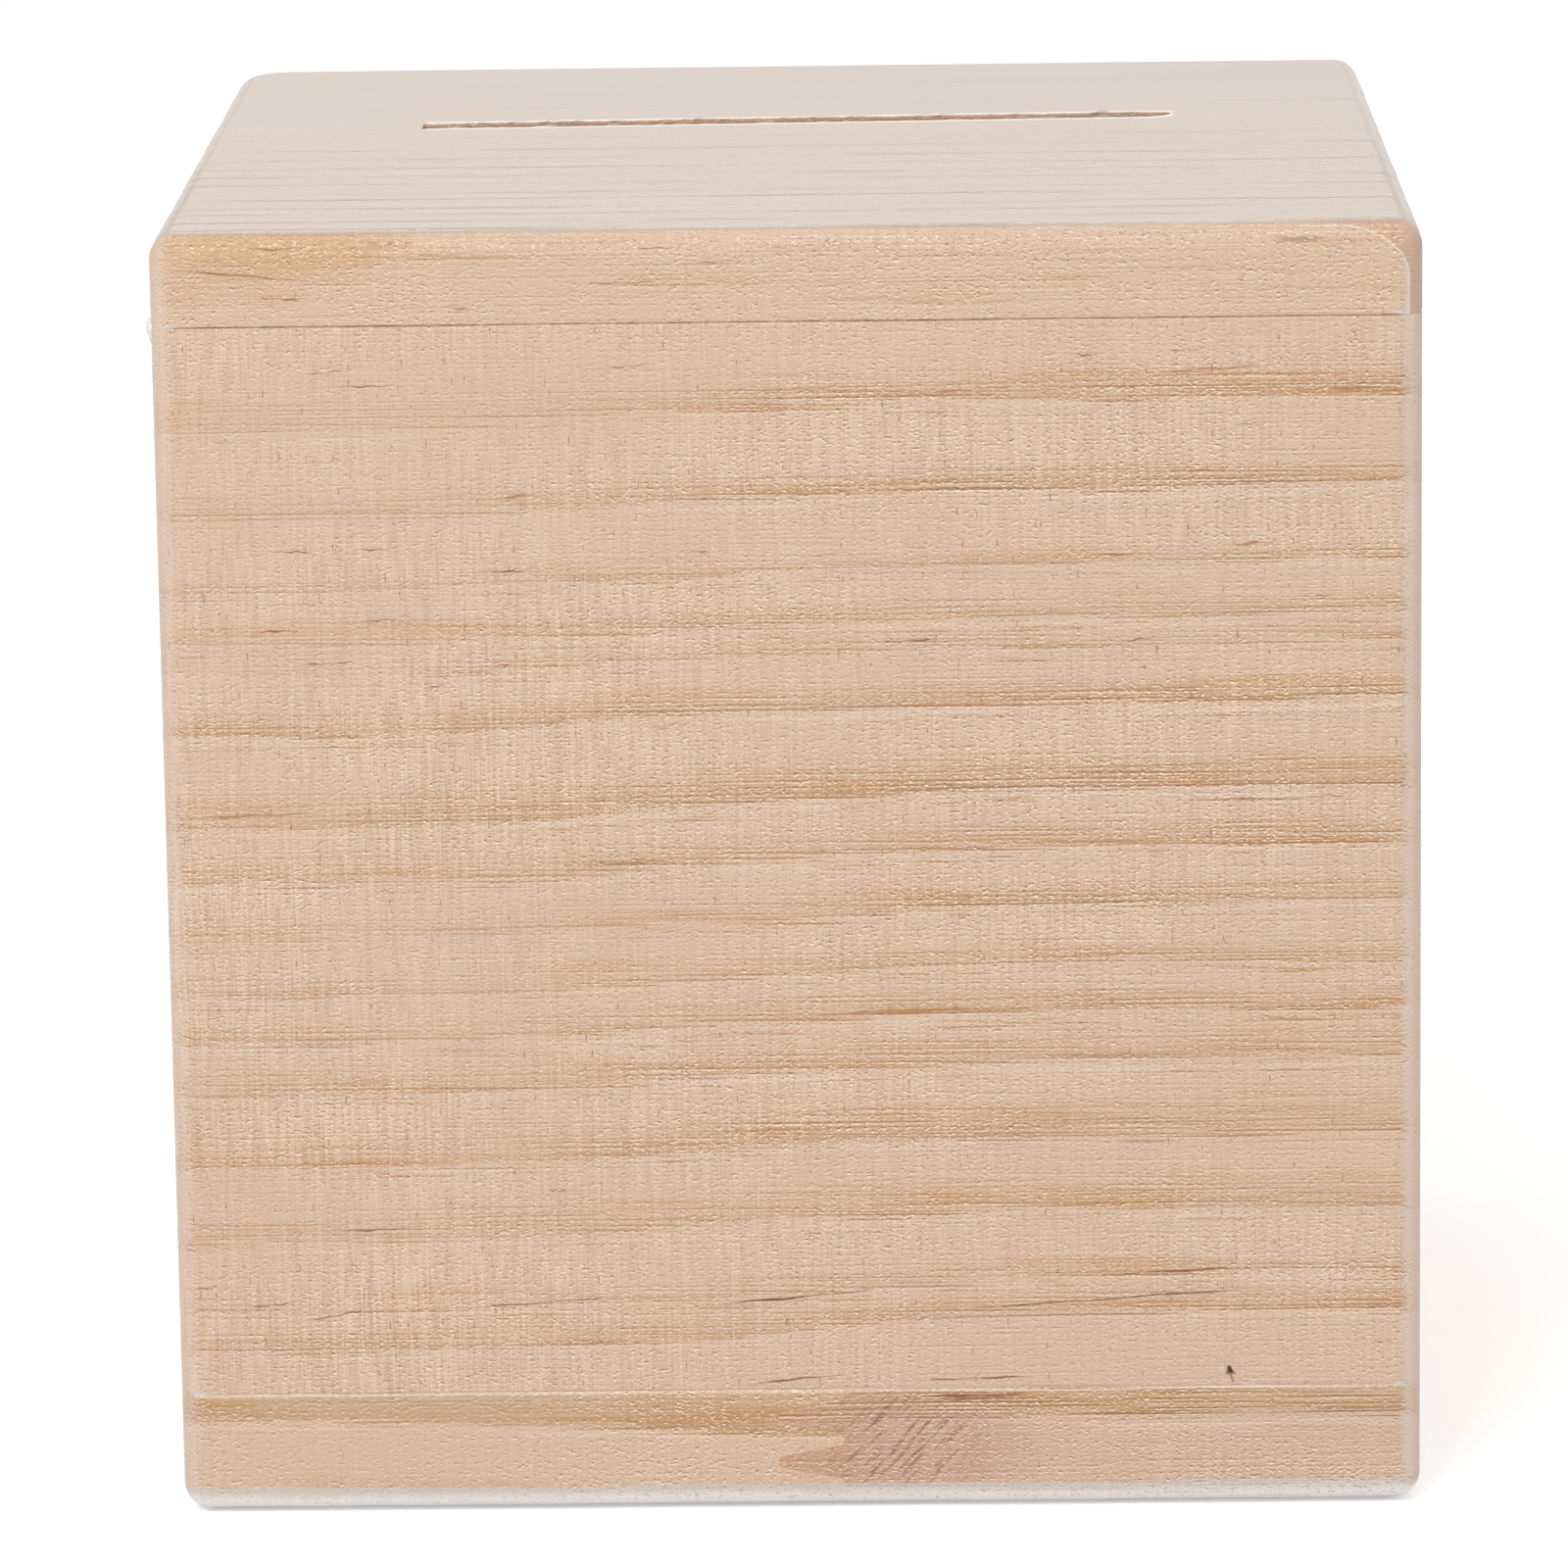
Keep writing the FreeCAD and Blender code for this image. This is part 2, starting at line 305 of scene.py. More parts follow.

# %% [markdown]
# ## The top board
# One board is glued flat on the walls and sanded together with them. Bricks are left out where the
# slot is, so its walls belong to the same mesh and can be given painted shade.

# %% Make the top board
slot_xs = list(np.arange(SLOT_LEFT, SLOT_RIGHT, 0.4)) + [SLOT_RIGHT, SLOT_RIGHT + 0.3]
slot_ys = [SLOT_MIDDLE + s * (SLOT_HALF + d) for s in (-1, 1) for d in (0, 0.3, 0.75, 1.05, 2)]
top_board = board_mesh(
    "top",
    marks(-HALF, HALF, 2.0, edge_marks + rear_marks, edge_marks, slot_xs),
    marks(-HALF, HALF, 2.0, edge_marks, edge_marks + rear_marks, slot_ys),
    marks(SEAM, TOP, 1.5, SEAM_STEPS, edge_marks + [0.08, 0.18, 0.3]),
    shape_top, slot_bricks, paint_slot)
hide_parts("top_board")
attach(top_board, "case")
print("top board:", len(top_board.data.polygons), "faces")

# %% [markdown]
# ## The four walls
# The front and back boards run the full width and cover the ends of the side boards. Low on the front
# the grain tore out when the board was planed: a small black pit with a few lifted fibres. Paint would
# look flat, so it is a real dent in the mesh.

# %% Make the walls
TEAR_X, TEAR_Z = 39.8, 12.95


def tear_out(points):
    x, y, z = points.T.copy()
    front = np.clip((y + HALF) / -0.2 + 1, 0, 1)
    u, v = x - TEAR_X, z - TEAR_Z
    wedge = np.clip(1 - np.abs(u + 0.25 * v) / np.maximum(0.32 - 0.4 * v, 0.05), 0, 1) * (np.abs(v) < 0.42)
    crack = np.clip(1 - np.abs(u - 0.2 - 0.12 * np.sin(v * 4)) / 0.1, 0, 1) * (v < -0.3) * (v > -1.1)
    spread = np.exp(-(u / 2.1) ** 2 - ((v - 0.3) / 0.9) ** 2)
    flakes = spread * np.sin(3.1 * u + 1) * np.sin(5.2 * v + 1.5 * u)
    y = y + front * (1.3 * wedge + 0.35 * crack - 0.1 * np.maximum(flakes, -0.6))
    return np.stack([x, y, z], 1)


def shape_wall(seed, then=lambda points: points):
    def shape(points):
        points = pull_seam(sand(points), SEAM, False, 0.2, seed)
        return then(pull_seam(points, BASE, True, 0.1, seed + 1))
    return shape


tear_xs = marks(-HALF, HALF, 2.5, edge_marks, edge_marks, np.arange(TEAR_X - 3, TEAR_X + 3, 0.1))
tear_zs = marks(BASE, SEAM, 2.5, SEAM_STEPS, SEAM_STEPS, np.arange(BASE + 0.4, TEAR_Z + 2, 0.1))
front_ys = marks(-HALF, -HALF + WALL, 2.5, edge_marks)
rear_xs = marks(-HALF, HALF, 2.5, edge_marks + rear_marks, edge_marks)
rear_ys = marks(HALF - WALL, HALF, 2.5, (), edge_marks + rear_marks)
side_ys = marks(-HALF + WALL, HALF - WALL, 2.5)
left_xs = marks(-HALF, -HALF + WALL, 2.5, [0.3])
right_xs = marks(HALF - WALL, HALF, 2.5, (), [0.3])
front_board = board_mesh("front", tear_xs, front_ys, tear_zs, shape_wall(0.4, tear_out))
back_board = board_mesh("back", rear_xs, rear_ys, wall_zs, shape_wall(1.9))
left_board = board_mesh("left", left_xs, side_ys, wall_zs, shape_wall(3.1))
right_board = board_mesh("right", right_xs, side_ys, wall_zs, shape_wall(4.6))
for wall in (front_board, back_board, left_board, right_board):
    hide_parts(wall.name + "_board")
    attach(wall, "case")
    print(wall.name, "wall:", len(wall.data.polygons), "faces")

# %% [markdown]
# ## The finger joint
# The base is glued up from strips, and its front strip is two short lengths joined end to end: a
# cutter mills both ends into wedge-shaped fingers. Both lengths take the shape of one zigzag line
# with round tips, so they can't overlap or gape.

# %% Draw the finger joint
FINGER_ROOT, FINGER_TIP = -2.05, 4.05
FINGER_PITCH = 4.3
FINGER_HEIGHT = 4.5
FINGER_FLAT = 0.6


def finger_line(z):
    """How far right the glue line of the finger joint lies at height z."""
    half_pitch = FINGER_PITCH / 2
    t = np.abs((z - FINGER_HEIGHT + half_pitch) % FINGER_PITCH - half_pitch)
    slope = np.clip((t - FINGER_FLAT) / (half_pitch - 2 * FINGER_FLAT), 0, 1)
    near_root = 0.5 * (1 - np.sqrt(np.clip(1 - (t / FINGER_FLAT) ** 2, 0, 1)))
    near_tip = 0.5 * (1 - np.sqrt(np.clip(1 - ((half_pitch - t) / FINGER_FLAT) ** 2, 0, 1)))
    middle = FINGER_ROOT + 0.5 + slope * (FINGER_TIP - FINGER_ROOT - 1)
    line = np.where(t > half_pitch - FINGER_FLAT, FINGER_TIP - near_tip, middle)
    return np.where(t < FINGER_FLAT, FINGER_ROOT + near_root, line)


print("the joint's line at three heights:", np.round(finger_line(np.array([2.3, 4.5, 6.7])), 2))

# %% [markdown]
# ## The base strips
# Behind the two front lengths lie a middle and a rear strip. They are blocks of bricks like the walls,
# so that sanding and seams are the same all round.

# %% Make the base strips
FRONT_STRIP_END = in_mm("base_front_strip_left")[1][1]
REAR_STRIP_START = in_mm("base_rear_strip")[0][1]
JOINT_X = 1
JOINT_REACH = 12


def shape_strip(seed, jointed=False):
    def shape(points):
        x, y, z = points.T.copy()
        if jointed:
            near = np.clip(1 - np.abs(x - JOINT_X) / JOINT_REACH, 0, 1)
            x = x + near * (finger_line(z) - JOINT_X)
        points = sand(np.stack([x, y, z], 1))
        return pull_seam(points, BASE, False, 0.12, seed)
    return shape


base_zs = marks(0, BASE, 1.5, edge_marks, SEAM_STEPS)
joint_zs = marks(0, BASE, 0.15, edge_marks, SEAM_STEPS)
joint_steps = [0, 0.3, 0.8, 1.5, 2.5, 4, 6, 8, 10, 12]
left_xs = marks(-HALF, JOINT_X, 2.5, edge_marks, joint_steps)
right_xs = marks(JOINT_X, HALF, 2.5, joint_steps, edge_marks)
front_ys = marks(-HALF, FRONT_STRIP_END, 2.5, edge_marks)
middle_ys = marks(FRONT_STRIP_END, REAR_STRIP_START, 2.5)
rear_ys = marks(REAR_STRIP_START, HALF, 2.5, (), edge_marks + rear_marks)
strips = [
    board_mesh("base_front_left", left_xs, front_ys, joint_zs, shape_strip(0.4, True)),
    board_mesh("base_front_right", right_xs, front_ys, joint_zs, shape_strip(0.4, True)),
    board_mesh("base_middle", full_xs, middle_ys, base_zs, shape_strip(2.2)),
    board_mesh("base_rear", rear_xs, rear_ys, base_zs, shape_strip(3.3)),
]
strip_nodes = ["base_front_strip_left", "base_front_strip_right", "base_middle_strip", "base_rear_strip"]
for strip, node in zip(strips, strip_nodes):
    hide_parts(node)
    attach(strip, "base")
    print(strip.name, "strip:", len(strip.data.polygons), "faces")

# %% [markdown]
# ## Turning and cutting
# Four countersunk wood screws hold the base. Round things are turned: rings of points, stacked and
# joined. The driver's cross has to be crisp, so it is cut with a Boolean modifier.

# %% Turn round pieces and cut them
TURN_STEPS = 40


def stack(name, rings, sharp=None):
    """A closed piece from rings of points, lowest first, with as many points in each."""
    n, last = len(rings[0]), len(rings) - 1
    faces = [(r * n + i, r * n + (i + 1) % n, (r + 1) * n + (i + 1) % n, (r + 1) * n + i)
             for r in range(last) for i in range(n)]
    faces += [tuple(reversed(range(n))), tuple(range(last * n, last * n + n))]
    return new_piece(name, [point for ring in rings for point in ring], faces, sharp)


def turned(name, rows):
    """A round piece; each row is (height, radii), with one radius or one per step."""
    angles = np.linspace(0, 2 * math.pi, TURN_STEPS, endpoint=False)
    rings = [np.stack([radii * np.cos(angles), radii * np.sin(angles), np.full(TURN_STEPS, height)], 1)
             for height, radii in rows]
    return stack(name, rings, 35)


def cut(piece, cutter):
    """Cuts the cutter's shape out of the piece for good, and throws the cutter away."""
    tool = piece.modifiers.new("cut", "BOOLEAN")
    tool.object = cutter
    tool.solver = "EXACT"
    bpy.context.view_layer.update()
    result = bpy.data.meshes.new_from_object(piece.evaluated_get(bpy.context.evaluated_depsgraph_get()))
    piece.modifiers.clear()
    piece.data = result
    bpy.data.objects.remove(cutter)
    if "sanded" in result.attributes:
        points = np.empty(3 * len(result.vertices))
        result.vertices.foreach_get("co", points)
        result.attributes["sanded"].data.foreach_set("value", sanded_share(points.reshape(-1, 3) / MM))


def cross_cutter(face, span, width, depth):
    """A plus-shaped wedge that narrows upwards, for the driver's cross."""
    s, w = span / 2, width / 2
    arm = [(s, -w), (s, w), (w, w)]
    turns = (1, 0), (0, 1), (-1, 0), (0, -1)
    plan = [(px * c - py * t, px * t + py * c) for c, t in turns for px, py in arm]
    rows = [(face - 0.5, 1.0), (face + 0.1, 1.0), (face + depth, 0.45)]
    return stack("cross", [[(px * k, py * k, height) for px, py in plan] for height, k in rows])


print("turned pieces have", TURN_STEPS, "steps around")

# %% [markdown]
# ## A wood screw
# A wood screw is a turned blank with a thread rolled onto it. So its rings are pushed out where the
# thread passes. The four screws are copies of this one.

# %% Turn one screw
HEAD, SHANK, CORE, THREAD = 3.0, 1.45, 1.0, 1.4
PITCH = 1.35
screw_low, screw_high = in_mm("base_screw_front_left")
FACE, POINT = screw_low[2], screw_high[2]
NECK = FACE + HEAD - SHANK
turn = np.linspace(0, 1, TURN_STEPS, endpoint=False)
rows = [(FACE, HEAD - 0.25), (FACE + 0.12, HEAD - 0.03), (FACE + 0.25, HEAD), (NECK, SHANK + 0.1),
        (NECK + 0.3, SHANK), (BASE - 0.4, SHANK)]
for height in np.arange(BASE - 0.2, POINT, 0.11):
    phase = (height / PITCH - turn) % 1
    crest = np.clip(1 - np.abs(phase - 0.5) / 0.22, 0, 1)
    point_share = min(1, max(0.12, (POINT - height) / 4))
    rows.append((height, (CORE + (THREAD - CORE) * crest) * point_share))
screw = turned("screw", rows + [(POINT, 0.12)])
cut(screw, cross_cutter(FACE, 3.2, 0.8, 1.3))
screw_mesh = screw.data
bpy.data.objects.remove(screw)
print("one screw:", len(screw_mesh.polygons), "faces")

# %% [markdown]
# ## Holes for the screws
# The heads are set below the surface, so that they don't scratch the table: a sink for the head in the
# base, and a pilot hole in the wall above. Drilling is what a Boolean does best.

# %% Place the screws and drill their holes
SCREWS = ["front_left", "front_right", "rear_left", "rear_right"]
SINK = [(-1, 4.5), (0, 3.5), (1.8, 1.7), (BASE + 1, 1.7)]
PILOT = [(BASE - 1, 1.5), (POINT + 1, 1.5)]

for place in SCREWS:
    low, high = in_mm("base_screw_" + place)
    x, y = (low + high)[:2] / 2
    move = Matrix.Translation((x * MM, y * MM, 0))
    piece = bpy.data.objects.new("screw_" + place, screw_mesh.copy())
    piece.data.transform(move)
    bpy.context.scene.collection.objects.link(piece)
    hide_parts("base_screw_" + place)
    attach(piece, "screw_" + place)
    strip = strips[3] if "rear" in place else strips[0 if "left" in place else 1]
    wall = back_board if "rear" in place else front_board
    for board, drill in ((strip, SINK), (wall, PILOT)):
        tool = turned("drill", drill)
        tool.data.transform(move)
        cut(board, tool)
print("screws:", len(SCREWS))

# %% [markdown]
# ## Recipes made of nodes
# Blender mixes a material from nodes: little machines that pass numbers and colours on through wires.
# Here a Signal is what comes out of a node, and sums and products of signals add the nodes for them,
# so that a recipe reads like arithmetic.

# %% Make signals that can be added and multiplied
class Signal:
    """A number, a place or a colour that a node gives out."""

    def __init__(self, recipe, socket):
        self.recipe, self.socket = recipe, socket

    def math(self, operation, *values, clamp=False):
        values = dict(enumerate((self, *values)))
        return self.recipe.get("Math", values, operation=operation, use_clamp=clamp)

    __add__ = partialmethod(math, "ADD")
    __sub__ = partialmethod(math, "SUBTRACT")
    __mul__ = partialmethod(math, "MULTIPLY")
    __truediv__ = partialmethod(math, "DIVIDE")
    __abs__ = partialmethod(math, "ABSOLUTE")
    most = partialmethod(math, "MAXIMUM")

    def between(self, low, high, to_low=0.0, to_high=1.0):
        values = dict(enumerate((self, low, high, to_low, to_high)))
        return self.recipe.get("MapRange", values, interpolation_type="SMOOTHSTEP")


def colour(red, green, blue):
    """A colour as a paint programme shows it, from 0 to 255, made linear for the renderer."""
    parts = [c / 255 for c in (red, green, blue)]
    return [c / 12.92 if c <= 0.04045 else ((c + 0.055) / 1.055) ** 2.4 for c in parts] + [1.0]


print("a resin brown, made linear:", np.round(colour(150, 100, 66), 3))

# %% [markdown]
# ## A pot to mix in
# A Recipe holds the nodes of one material. put() adds a node, and get() gives its output as a signal.
# The colour so far is the recipe's tint, and stain() works another tone into it.

# %% Make a helper that mixes materials
class Recipe:
    """The nodes of a material or of the world, being mixed."""

    def __init__(self, owner):
        owner.use_nodes = True
        self.owner, self.tree = owner, owner.node_tree

    def put(self, kind, values=None, **settings):
        node = self.tree.nodes.new("ShaderNode" + kind)
        for key, value in settings.items():
            setattr(node, key, value)
        for key, value in (values or {}).items():
            self.wire(value, node.inputs[key])
        return node

    def get(self, kind, values=None, output=0, **settings):
        return Signal(self, self.put(kind, values, **settings).outputs[output])

    def get_all(self, kind, values=None):
        return {socket.name: Signal(self, socket) for socket in self.put(kind, values).outputs}

    def wire(self, value, socket):
        if isinstance(value, Signal):
            self.tree.links.new(value.socket, socket)
        else:
            socket.default_value = value[:3] if socket.type == "VECTOR" else value

    def finish(self, **values):
        surface = self.tree.nodes["Principled BSDF"]
        for key, value in values.items():
            self.wire(value, surface.inputs[key.replace("_", " ")])
        return self.owner

    def vector(self, operation, *values):
        output = "Value" if operation == "LENGTH" else "Vector"
        return self.get("VectorMath", dict(enumerate(values)), output, operation=operation)

    def scale(self, value, factor):
        return self.get("VectorMath", {0: value, "Scale": factor}, operation="SCALE")

    def split(self, value):
        return list(self.get_all("SeparateXYZ", {0: value}).values())

    def join(self, *values):
        return self.get("CombineXYZ", dict(enumerate(values)))

    def mix(self, share, one, other):
        return self.get("Mix", {0: share, 6: one, 7: other}, 2, data_type="RGBA")

    def stain(self, share, tone):
        self.tint = self.mix(share, self.tint, tone)

    def spot(self):
        return self.get("TexCoord", output="Object")

    def painted(self, layer):
        return self.get("Attribute", output="Fac", attribute_name=layer)

    def noise(self, place, stretch, seed=0.0, detail=2.0, rough=0.5):
        """Noise from -1 to 1; stretch says how many marks there are per unit of each direction."""
        moved = self.vector("MULTIPLY_ADD", place, stretch, (seed * 3.7, seed * 9.1, seed * 5.3))
        values = {"Vector": moved, "Scale": 1.0, "Detail": detail, "Roughness": rough}
        return self.get("TexNoise", values) * 2.0 - 1.0

    def bump(self, strength, depth, height):
        return self.get("Bump", {"Strength": strength, "Distance": depth * MM, "Height": height})


def new_recipe(name):
    return Recipe(bpy.data.materials.new(name))


print("a recipe can:", ", ".join(word for word in vars(Recipe) if word[0] != "_"))

# %% [markdown]
# ## Wood that goes all the way through
# Pine is not a picture glued on a board: rings and fibres run through the whole thickness, so an end
# shows the same rings as the face beside it. The recipe does the same, and starts from the place in
# the board: along its grain, across it and through it.

# %% Find the place in the board
USUAL = dict(
    rings=None, start=0.0, slant=0.3, rise=(0, 0),  # rings from a list: how they lean and climb
    pith=None, spacing=5.0,  # or rings around a pith, so far apart
    ducts=0.15, fine=1.0, threads=1.0,  # resin ducts, short flecks, long lines
    cross=(0.16, 0.16),  # sanding marks, on the left and on the right
    to_right=(1.0, 1.0), bands=(1.0, 1.0),  # fibres and rings, on the left and on the right
    veil=None, patches=(), late=(),  # a pale veil on top, and spots of their own
)


def find_grain(wood):
    sides = wood.split(wood.scale(wood.spot(), 1 / MM))
    order = ["xyz".index(axis) for axis in wood.grain]
    wood.along, wood.across, wood.through = [sides[i] for i in order]
    wood.place = wood.join(wood.along, wood.across, wood.through)
    wood.normal = wood.split(wood.get("TexCoord", output="Normal"))
    wood.facing = [abs(wood.normal[i]) for i in order]


print("facts a board can have:", ", ".join(USUAL))

# %% [markdown]
# ## Flecks, lines and clouds
# Everything irregular in wood starts from noise, stretched along the grain: short flecks where fibres
# were cut, long lines, slow clouds, and sanding marks across. Flecks and lines are taken twice, a
# little apart, to give each a lit and a shaded side. A coarser belt left larger flecks on the top.

# %% Spread the noise
FIBRE_STEP = 0.13


def spread_noise(wood):
    seed, place, here = wood.seed, wood.place, wood.place
    if wood.veil:
        level = wood.normal[2]
        rounded = wood.facing[0].between(0.1, 0.5) * level.between(0.1, 0.5) * wood.across.between(-57, -48)
        wood.up = level.between(0.88, 0.975).most(rounded)
        here = wood.join(wood.along * (wood.up * -0.6 + 1), wood.across * (wood.up * -0.55 + 1), wood.through)
    turn = wood.facing[1].between(0.5, 0.8)
    step = wood.join(0, turn * -FIBRE_STEP + FIBRE_STEP, turn * FIBRE_STEP)
    both = here, wood.vector("ADD", here, step)
    wood.fleck, wood.fleck_below = [wood.noise(at, (2.4, 3.8, 3.8), seed, 2, 0.62) for at in both]
    wood.lines, wood.lines_below = [wood.noise(at, (0.07, 4.2, 4.2), seed + 1, 0) for at in both]
    wood.feather = wood.noise(place, (0.045, 1.2, 1.2), seed + 2, 2, 0.6)
    wood.bend = wood.noise(place, (0.013, 0.03, 0.03), seed + 3, 1, 0.5)
    wood.cloud = wood.noise(place, (0.03, 0.09, 0.09), seed + 4, 2, 0.55)
    wood.accent = wood.noise(place, (0.045, 0.5, 0.5), seed + 5, 2, 0.55)
    wood.scratch = wood.noise(place, (4.2, 0.22, 0.22), seed + 6, 2, 0.65)
    wood.tick = wood.noise(place, (4.5, 0.7, 0.7), seed + 7, 1, 0.5)


print("the two sides of a fibre lie", FIBRE_STEP, "mm apart")

# %% [markdown]
# ## Rings from a list
# On a board seen close up each ring has its own height, so they are written down in a list. A Float
# Curve turns a height into how far above its ring's dark edge a place lies, and how dark that ring is.

# %% Draw rings from a list
def hand_curve(wood, share, stops):
    """A curve through (place, value) points, drawn with straight lines."""
    node = wood.put("FloatCurve", {1: share})
    curve = node.mapping.curves[0]
    for point, stop in zip(curve.points, (stops[0], stops[-1])):
        point.location = stop
    for stop in stops[1:-1]:
        curve.points.new(*stop)
    for point in curve.points:
        point.handle_type = "VECTOR"
    node.mapping.update()
    return Signal(wood, node.outputs[0])


def listed_rings(wood, height):
    """Rings from (height of the dark edge, darkness, width): distance above it in widths, and darkness."""
    rings = sorted(wood.rings)
    low, high = rings[0][0] - 6, rings[-1][0] + 9
    starts = [low] + [ring[0] - 0.9 for ring in rings[1:]]
    ends = [start - 0.02 for start in starts[1:]] + [high]
    above, dark = [], []
    for (edge, darkness, width), start, end in zip(rings, starts, ends):
        for at in sorted({start, end, min(max(edge - 2 * width, start), end), min(edge + 4 * width, end)}):
            share = (at - low) / (high - low)
            above.append((share, (min(max((at - edge) / width, -2), 4) + 2) / 6))
            dark.append((share, darkness))
    share = wood.get("MapRange", {0: height, 1: low, 2: high})
    return hand_curve(wood, share, above) * 6.0 - 2.0, hand_curve(wood, share, dark)


print("a ring reaches from 2 widths below its dark edge to 4 above")

# %% [markdown]
# ## Growth rings
# A ring is one year: pale spring wood that darkens slowly and ends sharply. A board with no list gets
# a pith, the middle of the trunk, and rings around it. A thin dark rim and a pale glow beside it make
# the edge of a ring look sawn and not drawn.

# %% Grow and stain the rings
def grow_rings(wood):
    drift = wood.bend * 1.8 + wood.feather * 1.1 + wood.lines * 0.5 + wood.fleck * 0.15
    if wood.rings:
        climb, less_above = wood.rise
        lift = wood.along.between(-50, 32) * (wood.across * less_above + climb)
        deep = (wood.through - wood.start) * wood.slant + drift
        above, share = listed_rings(wood, wood.across - lift + deep)
    else:
        off_a, off_b = wood.across - wood.pith[0], wood.through - wood.pith[1]
        radius = (off_a * off_a + off_b * off_b).math("SQRT") + wood.along * wood.pith[2] + drift * 1.5
        above = (radius / wood.spacing).math("FRACT") * -1.8 + 1.8
        share = wood.cloud * 0.5 + 0.6
    share = share * wood.along.between(-40, 30, *wood.bands) * (wood.cloud * 0.7 + 0.95)
    body = above.between(0.05, 1.25, 1.0, 0.0) * above.between(-0.05, 0.05)
    streaky = wood.lines.between(-0.4, 0.4, 1 - 0.45 * wood.threads, 1 + 0.35 * wood.threads)
    wood.ring = (body * share).math("MULTIPLY", streaky, clamp=True)
    if wood.veil:
        wood.ring = wood.ring * wood.accent.between(-0.2, 0.3, 0.1, 0.9)
    wood.rim = abs(above - 0.06).between(0.02, 0.12, 1.0, 0.0) * share
    wood.glow = abs(above + 0.14).between(0.03, 0.14, 1.0, 0.0) * share


def stain_rings(wood, pale, tan, dark, amber):
    wood.tint = pale
    wood.stain(wood.ring.between(0.0, 0.7), tan)
    wood.stain(wood.ring.between(0.55, 1.15), dark)
    wood.stain(wood.accent.between(0.02, 0.45) * wood.ring.math("POWER", 0.6), amber)
    wood.stain(wood.rim * wood.accent.between(-0.05, 0.35, 0.0, 0.65 * wood.threads), colour(182, 130, 94))
    wood.stain(wood.glow * wood.feather.between(-0.2, 0.3, 0.0, 0.6), colour(238, 218, 198))


print("usual distance between rings:", USUAL["spacing"], "mm")

# %% [markdown]
# ## Resin ducts
# Tiny dark dashes along the grain are cut-open resin ducts. A Voronoi texture scatters one point per
# cell, and some lucky cells get a dash of their own length.

# %% Open the resin ducts
DUCT_CELLS = (0.11, 0.23, 0.23)


def open_ducts(wood):
    spot = wood.vector("MULTIPLY", wood.place, DUCT_CELLS)
    cells = wood.get_all("TexVoronoi", {"Vector": spot, "Scale": 1.0})
    apart = wood.split(wood.vector("SUBTRACT", spot, cells["Position"]))
    luck = wood.get_all("SeparateColor", {0: cells["Color"]})
    length = luck["Green"] * 0.3 + 0.06
    thin = abs(apart[1] + wood.fleck * 0.02)
    duct = thin.between(0.01, 0.04, 1, 0) * luck["Red"].math("LESS_THAN", wood.ducts)
    wood.stain(duct * (abs(apart[0]) / length).between(0.3, 1.0, 1, 0) * 0.55, colour(150, 100, 66))


print("a duct cell is", [round(1 / share, 1) for share in DUCT_CELLS], "mm")

# %% [markdown]
# ## Worn edges, painted reflections and a painted sheen
# The belt leaves round edges smoother and paler. On the upright rounds that pale colour is also a painted
# reflection of the white room, more on the right than on the left; underneath it is a painted reflection
# of the white floor, whiter where the surface faces further down. The top is painted paler and greyer,
# with grey lines instead of brown: a painted sheen, with its rounds a little darker as painted shade.
# All of these depend on which way the surface faces, so they follow the rounds by themselves.

# %% Wear the edges and paint a sheen on the top
# pale sanded tone, also a painted reflection of the white room; grey and white of a painted floor reflection
SANDED_WITH_REFLECTION, DIM_FLOOR_REFLECTION, FLOOR_REFLECTION_WHITE = colour(233, 214, 203), colour(210, 203, 196), colour(253, 249, 246)


def wear_edges(wood):
    rightwards, _, upwards = wood.normal
    worn = (wood.painted("sanded") + wood.fleck * 0.15 + wood.cloud * 0.15).between(0.3, 0.8)
    under = upwards.between(-0.01, -0.07)
    # painted reflection of the white room on the upright rounds, stronger facing right
    side = rightwards.between(0.1, 0.6, 0.0, 0.68).most(rightwards.between(-0.2, -0.6, 0.0, 0.3))
    # painted reflection of the white floor on faces turned down, whiter the further down they face
    painted_floor_reflection = wood.mix(upwards.between(-0.1, -0.6), DIM_FLOOR_REFLECTION, FLOOR_REFLECTION_WHITE)
    wood.smooth = worn * (under * 0.3).most(side) * -1 + 1
    # pale sanded edges, also a painted reflection on the upright rounds and underneath
    wood.stain(worn * (under * 0.92).most(side), wood.mix(under, SANDED_WITH_REFLECTION, painted_floor_reflection))
    wood.stain(wood.facing[0].between(0.55, 0.95, 0.0, 0.3), colour(200, 170, 146))


def paint_top_sheen(wood, tone, strength):
    # painted sheen: the flat top painted paler and greyer, and its rings stained grey instead of brown
    wood.stain(wood.up * strength, tone)
    wood.stain(wood.up * wood.ring * 0.8, colour(168, 154, 144))
    # painted shade: faces tilted part way up, the top's rounds, up to 7 percent darker; the flat top keeps
    # its tint
    wood.tint = wood.scale(wood.tint, wood.normal[2].between(0.1, 0.7, 1.0, 0.93) + wood.up * 0.07)
    wood.quiet = wood.up * wood.across.between(-25, 35, 0.2, 0.9) * -1 + 1


print("chalk white underneath:", np.round(FLOOR_REFLECTION_WHITE, 2))

# %% [markdown]
# ## Raised fibres
# Raw pine is never quite smooth: cut fibres stand up, bright on one side and dark on the other. They
# are too fine for a mesh, so the slope between two close places is painted in as highlight and shade.
# Marks of the grit run across, with a few short dark ticks.

# %% Raise the fibres and put the wood together
def slope(here, below, floor):
    return below.most(floor) - here.most(floor)


